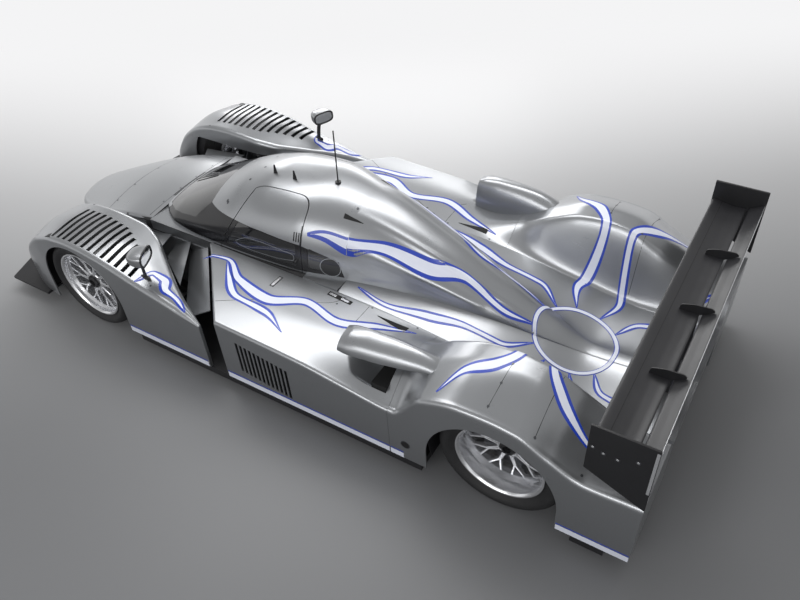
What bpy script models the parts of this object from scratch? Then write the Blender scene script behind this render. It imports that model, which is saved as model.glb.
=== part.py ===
"""Closed sports prototype race car, built from its separate panels, cabin, wheels and wing.

+X is forward, +Y is the car's left, +Z is up. The origin is on the ground, under the middle of the
car's length, on its centre plane. All sizes are metres, at the real size.
"""
import math

import bmesh
import bpy
import numpy as np
from mathutils import Matrix

# Overall sizes of the car.
LENGTH = 4.65
BODY_HALF = 0.985
FRONT_AXLE_X = 1.34
REAR_AXLE_X = -1.61
NOSE_TIP_X = 0.5 * LENGTH
TAIL_X = -0.5 * LENGTH
GAP = 0.0003
PANEL_GAP = 0.0015
SWING_GAP = 0.005

# Heights that the panels share.
FLOOR_LOW = 0.060
FLOOR_TOP = 0.113
PANEL_LOW = FLOOR_TOP + GAP
SILL_Z = 0.58
TUB_HALF = 0.44

# Wheels.
FRONT_TYRE_R = 0.325
FRONT_TYRE_W = 0.33
REAR_TYRE_R = 0.345
REAR_TYRE_W = 0.36
FRONT_TYRE_OUT = BODY_HALF - 0.020
REAR_TYRE_OUT = BODY_HALF - 0.040
RIM_SEAT_R = 0.2286
RIM_FLANGE_R = 0.245
BORE_R = 0.0285
SPINDLE_R = 0.028
WHEEL_STEPS = 28

# Wheel arches: the opening in the side, then the well behind it.
FRONT_ARCH_R = 0.350
FRONT_ARCH_Z = 0.300
REAR_ARCH_R = 0.3615
REAR_ARCH_Z = 0.245
REAR_ARCH_X = -1.585
SIDE_SKIN = 0.020
FRONT_WELL_R = 0.405
FRONT_WELL_TOP = 0.683
REAR_WELL_R = 0.385
REAR_WELL_TOP = 0.703
FRONT_PASSAGE_TOP = 0.560

# Front splitter: a blade seen from above, pairs of x and half width behind its front edge's middle.
SPLITTER_REAR_X = 1.800
SPLITTER_HALF = 1.000
SPLITTER_EDGE = ((2.170, SPLITTER_HALF), (2.235, 0.800), (2.285, 0.450), (2.300, 0.000))
SPLITTER_THICK = 0.018

# Floor: half its width, how far in its cuts for the wheels reach, and half their lengths.
FLOOR_HALF = BODY_HALF - 0.004
FLOOR_CUT_IN = 0.500
REAR_CUT_HALF = 0.420
FRONT_CUT_HALF = 0.430
FLOOR_TAIL_X = -2.200

# Cabin.
CABIN_FRONT_X = 1.190
CABIN_REAR_X = -0.330
ROOF_SKIN = 0.018
DOOR_SKIN = 0.018
GLASS_INSET = 0.002
GLASS_THICK = 0.005
TUB_FRONT_X = 1.700
TUB_WALL = 0.060
TUB_FLOOR = 0.030
GEARBOX_HALF = 0.290
GEARBOX_TOP_Z = 0.325
CABIN_WALL_X = 1.060
DRIVER_Y = -0.190
ANTENNA_X = -0.120
ANTENNA_Y = 0.040
ANTENNA_TOP_Z = 1.370

# Stations of the canopy's form along the car, and the steps of its half arch.
CANOPY_XS = (CABIN_REAR_X, -0.20, -0.06, 0.08, 0.25, 0.40, 0.55, 0.70, 0.85, 1.00, 1.10, CABIN_FRONT_X)
DOME_STEPS = 7

# Doors and side windows. The outlines are seen from the side: pairs of x and height.
DOOR_FRONT_X = 0.573
DOOR_REAR_X = -0.060
DOOR_LEAN = 0.5425
DOOR_TOP_Y = 0.205
DOOR_GLASS = ((0.512, 0.622), (0.424, 0.784), (0.200, 0.782), (-0.020, 0.768), (-0.020, 0.622))
QUARTER_GLASS = ((-0.100, 0.622), (-0.100, 0.764), (-0.230, 0.722), (-0.295, 0.690), (-0.300, 0.622))

# The doors' hinge line, its barrels and where it is split between canopy and door.
HINGE_LOW_Z = 0.612
HINGE_HIGH_Z = 0.748
HINGE_LOW_Y = 0.4425
HINGE_HIGH_Y = 0.4045
HINGE_R = 0.010
HINGE_ROOM = 0.0030
HINGE_SPLITS = (0.0, 0.28, 0.72, 1.0)

# Knuckles and wishbones.
KNUCKLE_HALF = 0.045
HUB_GAP = 0.002
PIN_IN = 0.030
HUB_BACK = -0.045
ARM_BOSS = 0.022
ARM_BOSS_TALL = 0.045
ARM_ROOT = 0.033
ARM_R = 0.011
ARM_SPREAD = 0.150
# Each end's knuckle half height, then the heights of its lower and upper wishbones' inner ends.
FRONT_CORNER = (0.125, 0.190, 0.400)
REAR_CORNER = (0.095, 0.200, 0.295)

# Sidepod: where its slanted front edge starts at the cell and where it reaches the side; its seam with
# the rear fender.
POD_LEAD_X = 0.645
POD_LEAD_RUN = 0.015
POD_CORNER_X = 0.155
POD_REAR_X = -1.000

# Rear wing. Its section's and brackets' pairs are the way back from its front edge and the height above its
# underside.
WING_TOP_Z = 0.998
WING_Z = 0.845
WING_FRONT_X = -2.034
PLATE_OUT = 0.998
PLATE_THICK = 0.012
PLATE_FRONT_Z = 0.707
PLATE_REAR_Z = 0.573
WING_MAIN = (
    (0.004, 0.030), (0.012, 0.036), (0.035, 0.033), (0.075, 0.024), (0.120, 0.017), (0.165, 0.016), (0.197, 0.020),
    (0.197, 0.012), (0.180, 0.000), (0.050, 0.000), (0.025, 0.006), (0.008, 0.018),
)
WING_FLAP = (
    (0.207, 0.016), (0.214, 0.028), (0.250, 0.047), (0.286, 0.071), (0.288, 0.065), (0.250, 0.037), (0.222, 0.020),
)
WING_BRACKET = ((0.096, 0.010), (0.102, 0.052), (0.166, 0.073), (0.250, 0.078), (0.266, 0.060), (0.186, 0.010))
BRACKET_YS = (-0.48, 0.0, 0.48)
PYLON_FRONT = 0.046
PYLON_REAR = 0.186
PYLON_Y = 0.130
PYLON_HALF = 0.005

# Mirrors: the housing's centre and its half sizes.
MIRROR_X = 0.73
MIRROR_Y = 0.918
MIRROR_Z = 0.782
MIRROR_WIDE = 0.078
MIRROR_TALL = 0.045

WELD = 0.00002
# The exact solver leaves open edges on long lofted skins, so those are cut with this one.
SKIN_SOLVER = "MANIFOLD"
SCREW_MERGE = 0.0001


def clear_scene():
    for obj in list(bpy.data.objects):
        bpy.data.objects.remove(obj, do_unlink=True)


def make_collection(name):
    collection = bpy.data.collections.new(name)
    bpy.context.scene.collection.children.link(collection)
    return collection


def make_material(name, colour, roughness, metallic=0.0, alpha=1.0):
    material = bpy.data.materials.new(name)
    material.use_nodes = True
    shader = material.node_tree.nodes["Principled BSDF"]
    shader.inputs["Base Color"].default_value = (*colour, 1.0)
    shader.inputs["Roughness"].default_value = roughness
    shader.inputs["Metallic"].default_value = metallic
    shader.inputs["Alpha"].default_value = alpha
    material.diffuse_color = (*colour, alpha)
    return material


def curve_through(x, xs, ys):
    """Smooth curve through the knots (xs rising) that never overshoots them: monotone cubic pieces."""
    x = np.clip(np.asarray(x, float), xs[0], xs[-1])
    xs = np.asarray(xs, float)
    ys = np.asarray(ys, float)
    step = np.diff(xs)
    slope = np.diff(ys) / step
    tangent = np.zeros(len(xs))
    same_sign = slope[:-1] * slope[1:] > 0
    w1 = 2 * step[1:] + step[:-1]
    w2 = step[1:] + 2 * step[:-1]
    safe = np.where(same_sign, slope[:-1] * slope[1:], 1.0)
    blend = (w1 + w2) * safe / (w1 * slope[1:] + w2 * slope[:-1] + np.where(same_sign, 0.0, 1.0))
    tangent[1:-1] = np.where(same_sign, blend, 0.0)
    tangent[0] = slope[0]
    tangent[-1] = slope[-1]
    i = np.clip(np.searchsorted(xs, x, side="right") - 1, 0, len(xs) - 2)
    t = (x - xs[i]) / step[i]
    a = ys[i]
    b = tangent[i] * step[i]
    c = 3 * (ys[i + 1] - ys[i]) - (2 * tangent[i] + tangent[i + 1]) * step[i]
    d = 2 * (ys[i] - ys[i + 1]) + (tangent[i] + tangent[i + 1]) * step[i]
    return a + t * (b + t * (c + t * d))


def column(table, x, index):
    """One named column of a section table, read at station x. Tables run from front to rear."""
    rows = sorted(table)
    return curve_through(x, [r[0] for r in rows], [r[index] for r in rows])


def new_object(name, mesh, material, collection):
    obj = bpy.data.objects.new(name, mesh)
    if material is not None:
        mesh.materials.append(material)
    collection.objects.link(obj)
    return obj


def face_outwards(bm):
    """Turns every face of a closed mesh outwards, so that its volume counts as positive."""
    bmesh.ops.remove_doubles(bm, verts=bm.verts, dist=WELD)
    bmesh.ops.recalc_face_normals(bm, faces=bm.faces)
    if bm.calc_volume(signed=True) < 0:
        bmesh.ops.reverse_faces(bm, faces=bm.faces)


def mesh_of(name, points, faces):
    """A mesh of these points and faces, with every face turned outwards."""
    mesh = bpy.data.meshes.new(name)
    mesh.from_pydata([tuple(map(float, p)) for p in points], [], faces)
    bm = bmesh.new()
    bm.from_mesh(mesh)
    face_outwards(bm)
    bm.to_mesh(mesh)
    bm.free()
    mesh.shade_smooth()
    mesh.set_sharp_from_angle(angle=math.radians(35))
    return mesh


def loft(name, rings):
    """A closed mesh over rings of equal length, each a closed planar outline, capped at both ends.

    Its sides are triangles cut along one fixed diagonal, so that two lofts of the same sections match.
    """
    count = len(rings[0])
    points = [p for ring in rings for p in ring]
    faces = []
    for r in range(len(rings) - 1):
        for i in range(count):
            j = (i + 1) % count
            near = r * count
            far = near + count
            faces += [(near + i, near + j, far + j), (near + i, far + j, far + i)]
    faces.append(tuple(range(count)))
    faces.append(tuple(range((len(rings) - 1) * count, len(rings) * count)))
    return mesh_of(name, points, faces)


def box_mesh(name, low, high):
    """A box between two corners, from a cube primitive."""
    bm = bmesh.new()
    bmesh.ops.create_cube(bm, size=1.0)
    low = np.asarray(low, float)
    high = np.asarray(high, float)
    for v in bm.verts:
        for axis in range(3):
            v.co[axis] = low[axis] if v.co[axis] < 0 else high[axis]
    face_outwards(bm)
    mesh = bpy.data.meshes.new(name)
    bm.to_mesh(mesh)
    bm.free()
    return mesh


def prism(name, outline, axis, low, high):
    """An outline of pairs pushed from low to high along an axis; the pairs are the other two axes in order."""
    def place(pair, along):
        values = list(pair)
        values.insert(axis, along)
        return tuple(values)
    rings = [[place(pair, low) for pair in outline], [place(pair, high) for pair in outline]]
    return loft(name, rings)


def arc(centre_a, centre_b, radius, start_deg, end_deg, steps):
    """Points along an arc, both ends included."""
    angles = np.radians(np.linspace(start_deg, end_deg, steps + 1))
    return [(centre_a + radius * math.cos(t), centre_b + radius * math.sin(t)) for t in angles]


def inset_outline(outline, distance):
    """A convex outline moved inwards by a distance: each corner goes to the crossing of its shifted edges."""
    pts = np.asarray(outline, float)
    area = 0.5 * np.sum(pts[:, 0] * np.roll(pts[:, 1], -1) - np.roll(pts[:, 0], -1) * pts[:, 1])
    turn = 1.0 if area > 0 else -1.0
    edges = np.roll(pts, -1, axis=0) - pts
    edges /= np.linalg.norm(edges, axis=1)[:, None]
    normals = np.stack([-edges[:, 1], edges[:, 0]], axis=1) * turn
    moved = []
    for i in range(len(pts)):
        a = normals[i - 1]
        b = normals[i]
        both = (a + b) / (1.0 + float(a @ b))
        moved.append(tuple(pts[i] + distance * both))
    return moved


def put_origin(obj, place):
    """Moves a piece's origin to a place on its joint's axis. Its form stays where it is."""
    obj.data.transform(Matrix.Translation([-v for v in place]))
    obj.location = place


def cut(target, cutter_mesh, cutters, operation="DIFFERENCE", solver="EXACT"):
    """Cuts, joins or trims the target with a closed mesh, and leaves the cutter as a wire guide."""
    tool = bpy.data.objects.new(f"{target.name}_{cutter_mesh.name}", cutter_mesh)
    cutters.objects.link(tool)
    tool.hide_render = True
    tool.display_type = "WIRE"
    modifier = target.modifiers.new(cutter_mesh.name, "BOOLEAN")
    modifier.operation = operation
    modifier.solver = solver
    modifier.object = tool
    return tool


# Canopy and spine, one form from the windscreen's foot to the tail. Each section is half of a rounded
# arch. Columns: station x, half width at the foot, top height, foot height, roundness of the arch.
SPINE = (
    (1.19, 0.270, 0.622, 0.580, 2.0),
    (1.10, 0.345, 0.668, 0.580, 2.0),
    (1.00, 0.395, 0.718, 0.580, 2.05),
    (0.75, 0.430, 0.840, 0.580, 2.1),
    (0.50, 0.436, 0.955, 0.580, 2.1),
    (0.25, 0.430, 1.020, 0.580, 2.3),
    (0.00, 0.415, 1.035, 0.580, 2.4),
    (-0.33, 0.340, 0.980, 0.580, 2.3),
    (-0.80, 0.245, 0.810, 0.548, 2.1),
    (-1.20, 0.170, 0.610, 0.492, 2.0),
    (-1.50, 0.105, 0.465, 0.420, 2.0),
    (-1.75, 0.050, 0.372, 0.362, 2.0),
    (-2.325, 0.045, 0.420, 0.412, 2.0),
)

# How far across the rear fender's crest runs level before its inner flank falls.
CREST_LEVEL = 0.100

# Deck of the rear body, from the spine's foot out to the side. Columns: station x, height at the
# split beside the spine, crest's height, ridge's height at the side, crest's place across.
DECK = (
    (0.60, 0.580, 0.585, 0.575, 0.70),
    (0.15, 0.575, 0.578, 0.562, 0.70),
    (-0.42, 0.565, 0.567, 0.535, 0.70),
    (-0.75, 0.545, 0.555, 0.490, 0.72),
    (-1.03, 0.515, 0.620, 0.450, 0.72),
    (-1.20, 0.490, 0.716, 0.640, 0.70),
    (-1.40, 0.455, 0.796, 0.700, 0.70),
    (-1.55, 0.430, 0.810, 0.705, 0.70),
    (-1.70, 0.405, 0.795, 0.690, 0.70),
    (-1.87, 0.385, 0.716, 0.605, 0.70),
    (-2.05, 0.385, 0.625, 0.535, 0.70),
    (-2.25, 0.405, 0.566, 0.552, 0.70),
    (-2.325, 0.415, 0.560, 0.556, 0.70),
)

# Stations of the rear fender's form.
REAR_FENDER_XS = (POD_REAR_X, -1.08, -1.14, -1.20, -1.30, -1.40, -1.55, -1.70, -1.80, -1.90, -2.05, -2.18, -2.27,
                  TAIL_X + 0.003)

# Recess in the pod under the scoop: station x, its floor's height, height of the cutter's top; its sides.
RECESS = ((-0.600, 0.560, 0.650), (-0.955, 0.440, 0.720))
RECESS_IN = 0.722
RECESS_OUT = 0.915

# Scoop: a hood open to the front and to the outside. Columns: station x, foot's place across, lip's place
# across, crest's height, lip's height.
SCOOP = (
    (-0.650, 0.708, 0.892, 0.722, 0.652),
    (-0.700, 0.700, 0.897, 0.742, 0.652),
    (-0.800, 0.692, 0.890, 0.752, 0.657),
    (-0.900, 0.690, 0.880, 0.752, 0.662),
    (-1.000, 0.690, 0.866, 0.748, 0.668),
    (-1.080, 0.692, 0.850, 0.738, 0.672),
    (-1.150, 0.700, 0.832, 0.720, 0.672),
    (-1.200, 0.706, 0.820, 0.700, 0.660),
)
SCOOP_CREST_Y = 0.770
SCOOP_SKIN = 0.014

# Channel plates between the cell and the front fender, each a flat plate that rises rearwards. First come
# three corners that set its plane: x, place across, height. Then comes its outline: pairs of x and place
# across. The first plate lies ahead of the others, over the front suspension's upper arms.
CHANNEL_PLATES = (
    (((1.540, 0.418, 0.452), (1.295, 0.440, 0.487), (1.220, 0.550, 0.518)),
     ((1.540, 0.4245), (1.295, 0.441), (1.220, 0.549), (1.600, 0.549))),
    (((1.300, 0.443, 0.450), (1.010, 0.443, 0.520), (0.985, 0.565, 0.520)),
     ((1.290, 0.443), (1.010, 0.443), (0.985, 0.565), (1.080, 0.547), (1.240, 0.547))),
    (((1.000, 0.443, 0.445), (0.840, 0.443, 0.520), (0.600, 0.800, 0.520)),
     ((1.000, 0.443), (0.840, 0.443), (0.600, 0.800), (0.930, 0.595), (0.980, 0.562))),
    (((0.870, 0.443, 0.445), (0.690, 0.443, 0.525), (0.310, 0.860, 0.485)),
     ((0.870, 0.443), (0.690, 0.443), (0.310, 0.860), (0.430, 0.890), (0.575, 0.815))),
)
CHANNEL_SKIN = 0.006
# Web along the cell's side that carries the plates: pairs of x and height.
CHANNEL_WEB = ((0.665, PANEL_LOW), (1.150, PANEL_LOW), (1.150, 0.436), (1.530, 0.436), (1.530, 0.456),
               (1.290, 0.486), (1.000, 0.505), (0.665, 0.505))

# Diffuser: the floor's middle rises behind the rear wheels. Columns: station x, underside, upper side.
DIFFUSER = (
    (-1.885, 0.062, 0.110),
    (-1.930, 0.066, 0.100),
    (-2.050, 0.105, 0.120),
    (-2.180, 0.165, 0.180),
    (-2.300, 0.225, 0.240),
)
DIFFUSER_HALF = 0.430
DIFFUSER_START_X = -1.900
FENCE_LOW = 0.064
FENCE_HALF = 0.003
FENCE_YS = (-0.425, -0.150, 0.150, 0.425)

# Engine and gearbox in one block. Columns: station x, half width, underside, upper side.
ENGINE = (
    (CABIN_REAR_X - 0.010, 0.240, PANEL_LOW, 0.600),
    (-0.950, 0.220, PANEL_LOW, 0.500),
    (-1.200, GEARBOX_HALF, PANEL_LOW, 0.400),
    (-1.780, GEARBOX_HALF, PANEL_LOW, GEARBOX_TOP_Z),
    (-1.880, 0.230, PANEL_LOW, GEARBOX_TOP_Z),
    (-2.050, 0.140, 0.190, GEARBOX_TOP_Z),
    (-2.230, 0.140, 0.250, GEARBOX_TOP_Z),
)

# Front fender. Columns: station x, inner face, outer face, inner edge's height, crown's height,
# outer edge's height.
FENDER = (
    (2.060, 0.640, 0.840, 0.165, 0.175, 0.160),
    (2.020, 0.600, 0.890, 0.270, 0.285, 0.265),
    (1.940, 0.570, 0.930, 0.400, 0.420, 0.385),
    (1.820, 0.555, 0.965, 0.540, 0.560, 0.520),
    (1.660, 0.550, 0.983, 0.640, 0.660, 0.630),
    (1.500, 0.550, 0.985, 0.680, 0.695, 0.680),
    (1.340, 0.550, 0.985, 0.690, 0.704, 0.696),
    (1.100, 0.555, 0.985, 0.675, 0.690, 0.672),
    (0.940, 0.600, 0.985, 0.640, 0.655, 0.632),
    (0.800, 0.690, 0.985, 0.600, 0.610, 0.592),
    (0.550, 0.845, 0.985, 0.538, 0.545, 0.533),
    (0.300, 0.965, 0.985, 0.462, 0.464, 0.460),
)

# Nose. Columns: station x, half width, centre height, shoulder's height, underside's height.
NOSE = (
    (1.190, 0.440, 0.600, 0.580, 0.1133),
    (1.450, 0.430, 0.565, 0.535, 0.1133),
    (1.700, 0.405, 0.515, 0.465, 0.140),
    (1.950, 0.350, 0.440, 0.380, 0.175),
    (2.150, 0.275, 0.365, 0.315, 0.205),
    (2.280, 0.180, 0.305, 0.275, 0.222),
    (2.325, 0.080, 0.268, 0.252, 0.232),
)


def spine_arch(x, offset, low, steps):
    """Half arch of the spine from the foot up to the centre, moved inwards by the offset."""
    half = float(column(SPINE, x, 1)) - offset
    top = float(column(SPINE, x, 2)) - offset
    foot = float(column(SPINE, x, 3))
    power = float(column(SPINE, x, 4))
    angles = np.radians(np.linspace(0.0, 90.0, steps + 1))
    y = half * np.cos(angles) ** (2.0 / power)
    z = foot + (top - foot) * np.sin(angles) ** (2.0 / power)
    points = list(zip(y, z))
    if low < foot - 1e-6:
        points.insert(0, (half, low))
    return points


def dome(name, xs, offset, low, steps):
    """A closed form under the spine's arch, between the first and the last station."""
    rings = []
    for x in xs:
        half = spine_arch(x, offset, low, steps)
        ring = [(x, y, z) for y, z in half]
        ring += [(x, -y, z) for y, z in reversed(half[:-1])]
        rings.append(ring)
    return loft(name, rings)


def deck_height(x, y):
    """Height of the rear body at a place: a smooth curve from the split over the crest to the ridge."""
    ys = [TUB_HALF, float(column(DECK, x, 4)), BODY_HALF]
    zs = [float(column(DECK, x, 1)), float(column(DECK, x, 2)), float(column(DECK, x, 3))]
    z = curve_through(y, ys, zs)
    flank = np.clip((np.asarray(y, float) - ys[0]) / (ys[1] - CREST_LEVEL - ys[0]), 0.0, 1.0)
    smooth = zs[0] + (zs[1] - zs[0]) * flank * flank * (3.0 - 2.0 * flank)
    return np.where(np.asarray(y) < ys[1], smooth, z)


def shoulder_section(x, side, y_in, y_out, z_low, top, r_in, r_out, steps=3):
    """A section ring: inner wall, rounded edge, top line, rounded shoulder, outer wall, flat foot."""
    first = top[0]
    last = top[-1]
    ring = [(y_in, z_low)]
    ring += arc(y_in + r_in, first[1] - r_in, r_in, 180.0, 90.0, steps)
    ring += top[1:-1]
    ring += arc(y_out - r_out, last[1] - r_out, r_out, 90.0, 0.0, steps)
    ring.append((y_out, z_low))
    return [(x, side * y, z) for y, z in ring]


def deck_ring(x, side, y_in, y_out, z_low, r_in, r_out, steps=7, drop=0.0):
    """A section of the rear body between two places across, lowered by the drop."""
    ys = np.linspace(y_in + r_in, y_out - r_out, steps)
    top = list(zip(ys, deck_height(x, ys) - drop))
    return shoulder_section(x, side, y_in, y_out, z_low, top, r_in, r_out)


def arch_outline(x, z, radius, low, steps):
    """A wheel opening seen from the side: an arc over the wheel, straight down below its centre."""
    return arc(x, z, radius, 0.0, 180.0, steps) + [(x - radius, low), (x + radius, low)]


def clipped_well(x, z, radius, top, low, steps):
    """A wheel well's outline: an arc cut off flat under the fender's skin."""
    start = math.degrees(math.asin((top - z) / radius))
    front = arc(x, z, radius, 0.0, start, steps)
    rear = arc(x, z, radius, 180.0 - start, 180.0, steps)
    return front + rear + [(x - radius, low), (x + radius, low)]


def side_prism(name, outline, side, y_low, y_high):
    """A prism across the car, on one side of it."""
    ends = sorted((side * y_low, side * y_high))
    return prism(name, outline, 1, ends[0], ends[1])


def side_box(name, side, x_ends, y_ends, z_ends):
    """A box on one side of the car."""
    ys = sorted((side * y_ends[0], side * y_ends[1]))
    return box_mesh(name, (min(x_ends), ys[0], z_ends[0]), (max(x_ends), ys[1], z_ends[1]))


def fender_rings(side):
    """The front fender's sections, from its thin tail up over the wheel and down to the splitter."""
    rings = []
    for x in (0.30, 0.42, 0.55, 0.68, 0.80, 0.94, 1.10, 1.34, 1.50, 1.66, 1.76, 1.84, 1.92, 1.98, 2.02, 2.06):
        y_in = float(column(FENDER, x, 1))
        y_out = float(column(FENDER, x, 2))
        width = y_out - y_in
        radius = min(0.035, 0.35 * width)
        z_in = float(column(FENDER, x, 3))
        z_mid = float(column(FENDER, x, 4))
        z_out = float(column(FENDER, x, 5))
        ys = np.linspace(y_in + radius, y_out - radius, 5)
        zs = curve_through(ys, [ys[0], 0.5 * (ys[0] + ys[-1]), ys[-1]], [z_in, z_mid, z_out])
        rings.append(shoulder_section(x, side, y_in, y_out, PANEL_LOW, list(zip(ys, zs)), radius, radius))
    return rings


def make_front_fender(side_name, side, parts, cutters, material):
    """Front fender: a rounded hump over the wheel that runs back into a thin outer wall."""
    fender = new_object(f"front_fender_{side_name}", loft("fender", fender_rings(side)), material, parts)
    well = clipped_well(FRONT_AXLE_X, FRONT_TYRE_R, FRONT_WELL_R, FRONT_WELL_TOP, -0.1, 6)
    inner = float(column(FENDER, FRONT_AXLE_X, 1)) + SIDE_SKIN
    cut(fender, side_prism("well", well, side, inner, BODY_HALF - SIDE_SKIN), cutters, "DIFFERENCE", SKIN_SOLVER)
    passage = clipped_well(FRONT_AXLE_X, FRONT_TYRE_R, FRONT_WELL_R, FRONT_PASSAGE_TOP, -0.1, 6)
    cut(fender, side_prism("passage", passage, side, TUB_HALF, inner + SIDE_SKIN), cutters, "DIFFERENCE",
        SKIN_SOLVER)
    arch = arch_outline(FRONT_AXLE_X, FRONT_ARCH_Z, FRONT_ARCH_R, -0.1, 20)
    arch = side_prism("arch", arch, side, BODY_HALF - 2 * SIDE_SKIN, BODY_HALF + SIDE_SKIN)
    cut(fender, arch, cutters, "DIFFERENCE", SKIN_SOLVER)
    vent = side_box("vent", side, (0.82, 0.96), (0.72, 0.94), (0.45, 0.570))
    cut(fender, vent, cutters, "DIFFERENCE", SKIN_SOLVER)
    count = 13
    pitch = 0.055
    slot = 0.026
    slots = bmesh.new()
    for i in range(count):
        x = 0.835 + i * pitch
        crown = float(column(FENDER, x, 4))
        inner = 0.70 if x > 0.93 else 0.76
        tool = side_box("slot", side, (x, x + slot), (inner, 0.945), (crown - 0.11, crown + 0.03))
        slots.from_mesh(tool)
        bpy.data.meshes.remove(tool)
    louvres = bpy.data.meshes.new("louvres")
    slots.to_mesh(louvres)
    slots.free()
    cut(fender, louvres, cutters, "DIFFERENCE", SKIN_SOLVER)
    lamp = lamp_prism(side)
    cut(fender, lamp, cutters, "DIFFERENCE", SKIN_SOLVER)
    return fender


def lamp_prism(side, inset=0.0):
    """The headlamp's pocket, a slanted window in the fender's front."""
    outline = [(1.80, 0.62), (1.80, 0.86), (2.00, 0.83), (2.03, 0.66)]
    outline = [(x, side * y) for x, y in inset_outline(outline, inset)]
    return prism("lamp", outline, 2, 0.335 + inset, 0.70)


def make_headlamp(side_name, side, parts, cutters, material, fender):
    """Clear headlamp cover, flush with the fender's front and cut from the same form."""
    mesh = fender.data.copy()
    lamp = new_object(f"headlamp_{side_name}", mesh, None, parts)
    mesh.materials.clear()
    mesh.materials.append(material)
    cut(lamp, lamp_prism(side, GAP), cutters, "INTERSECT", SKIN_SOLVER)
    return lamp


def pod_rings(side):
    """The sidepod's sections. Its front edge runs aslant from the cabin out to the side."""
    rings = []
    start = POD_LEAD_X + POD_LEAD_RUN
    for x in (POD_LEAD_X, 0.52, 0.40, 0.28, POD_CORNER_X, 0.05, -0.15, -0.42, -0.60, -0.75, -0.90,
              POD_REAR_X + PANEL_GAP):
        share = min(1.0, (start - x) / (start - POD_CORNER_X))
        y_in = TUB_HALF + GAP
        y_out = y_in + (BODY_HALF - y_in) * share
        radius = min(0.022, 0.3 * (y_out - y_in))
        rings.append(deck_ring(x, side, y_in, y_out, PANEL_LOW, 0.001, radius))
    return rings


def make_sidepod(side_name, side, parts, cutters, material):
    """Sidepod: the body's flank between the wheels, with an upright grille in its side and a recess that
    deepens rearwards under the scoop's hood."""
    pod = new_object(f"sidepod_{side_name}", loft("sidepod", pod_rings(side)), material, parts)
    slots = bmesh.new()
    for i in range(12):
        x = 0.025 - i * 0.0315
        low = 0.225 - 0.05 * i / 11
        tool = side_box("slot", side, (x - 0.019, x), (BODY_HALF - 0.06, BODY_HALF + 0.05), (low, low + 0.235))
        slots.from_mesh(tool)
        bpy.data.meshes.remove(tool)
    grille = bpy.data.meshes.new("grille")
    slots.to_mesh(grille)
    slots.free()
    cut(pod, grille, cutters, "DIFFERENCE", SKIN_SOLVER)
    rings = []
    for x, low, high in RECESS:
        rings.append([(x, side * y, z) for y, z in ((RECESS_IN, low), (RECESS_OUT, low), (RECESS_OUT, high),
                                                    (RECESS_IN, high))])
    cut(pod, loft("recess", rings), cutters, "DIFFERENCE", SKIN_SOLVER)
    return pod


def rear_fender_rings(side):
    """The rear fender's sections, from its seam with the pod to the tail."""
    return [deck_ring(x, side, TUB_HALF + GAP, BODY_HALF, PANEL_LOW, 0.001, 0.028, 9) for x in REAR_FENDER_XS]


def make_rear_fender(side_name, side, parts, cutters, material):
    """Rear fender: a high crest over the wheel, falling to the flat tail."""
    ceiling = []
    for x in REAR_FENDER_XS:
        ceiling.append(deck_ring(x, side, TUB_HALF - 0.05, BODY_HALF - SIDE_SKIN, -0.1, 0.001, 0.028, 9, SIDE_SKIN))
    fender = new_object(f"rear_fender_{side_name}", loft("rear_fender", rear_fender_rings(side)), material, parts)
    well = clipped_well(REAR_AXLE_X, REAR_TYRE_R, REAR_WELL_R, REAR_WELL_TOP, -0.05, 6)
    tool = cut(fender, side_prism("well", well, side, TUB_HALF - 0.04, BODY_HALF - SIDE_SKIN - 0.001), cutters,
               "DIFFERENCE", SKIN_SOLVER)
    cut(tool, loft("ceiling", ceiling), cutters, "INTERSECT", SKIN_SOLVER)
    arch = arch_outline(REAR_ARCH_X, REAR_ARCH_Z, REAR_ARCH_R, -0.1, 20)
    arch = side_prism("arch", arch, side, BODY_HALF - 2 * SIDE_SKIN, BODY_HALF + SIDE_SKIN)
    cut(fender, arch, cutters, "DIFFERENCE", SKIN_SOLVER)
    cut(fender, tail_lamp_box(side, 0.0), cutters, "DIFFERENCE", SKIN_SOLVER)
    return fender


def tail_lamp_box(side, inset):
    """The tail lamp's pocket in the fender's rear face."""
    return side_box(
        "tail_lamp", side,
        (TAIL_X - 0.02 + inset, TAIL_X + 0.025 - inset),
        (0.66 + inset, 0.90 - inset),
        (0.40 + inset, 0.47 - inset),
    )


def make_tail_lamp(side_name, side, parts, material):
    """Tail lamp: a flat lens that fills its pocket."""
    mesh = side_box(
        "tail_lamp", side, (TAIL_X + 0.004, TAIL_X + 0.025 - GAP), (0.66 + GAP, 0.90 - GAP), (0.40 + GAP, 0.47 - GAP)
    )
    return new_object(f"tail_lamp_{side_name}", mesh, material, parts)


def make_engine_cover(parts, cutters, material):
    """Engine cover: the spine behind the cabin and the deck on both sides of it, one thick shell."""
    skin = 0.020
    rings = []
    for x in (TAIL_X + 0.003, -2.18, -2.05, -1.87, -1.70, -1.50, -1.30, -1.10, -0.85, -0.58, CABIN_REAR_X - GAP):
        outer = cover_line(x, 0.0)
        inner = cover_line(x, skin)
        half = [(y, z) for y, z in outer]
        line = half + [(-y, z) for y, z in reversed(half[:-1])]
        back = [(y, z) for y, z in inner]
        line_in = back + [(-y, z) for y, z in reversed(back[:-1])]
        rings.append([(x, y, z) for y, z in line] + [(x, y, z) for y, z in reversed(line_in)])
    cover = new_object("engine_cover", loft("engine_cover", rings), material, parts)
    for side in (1, -1):
        cut(cover, pylon_box(side, 0.0015), cutters, "DIFFERENCE", SKIN_SOLVER)
    return cover


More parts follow.
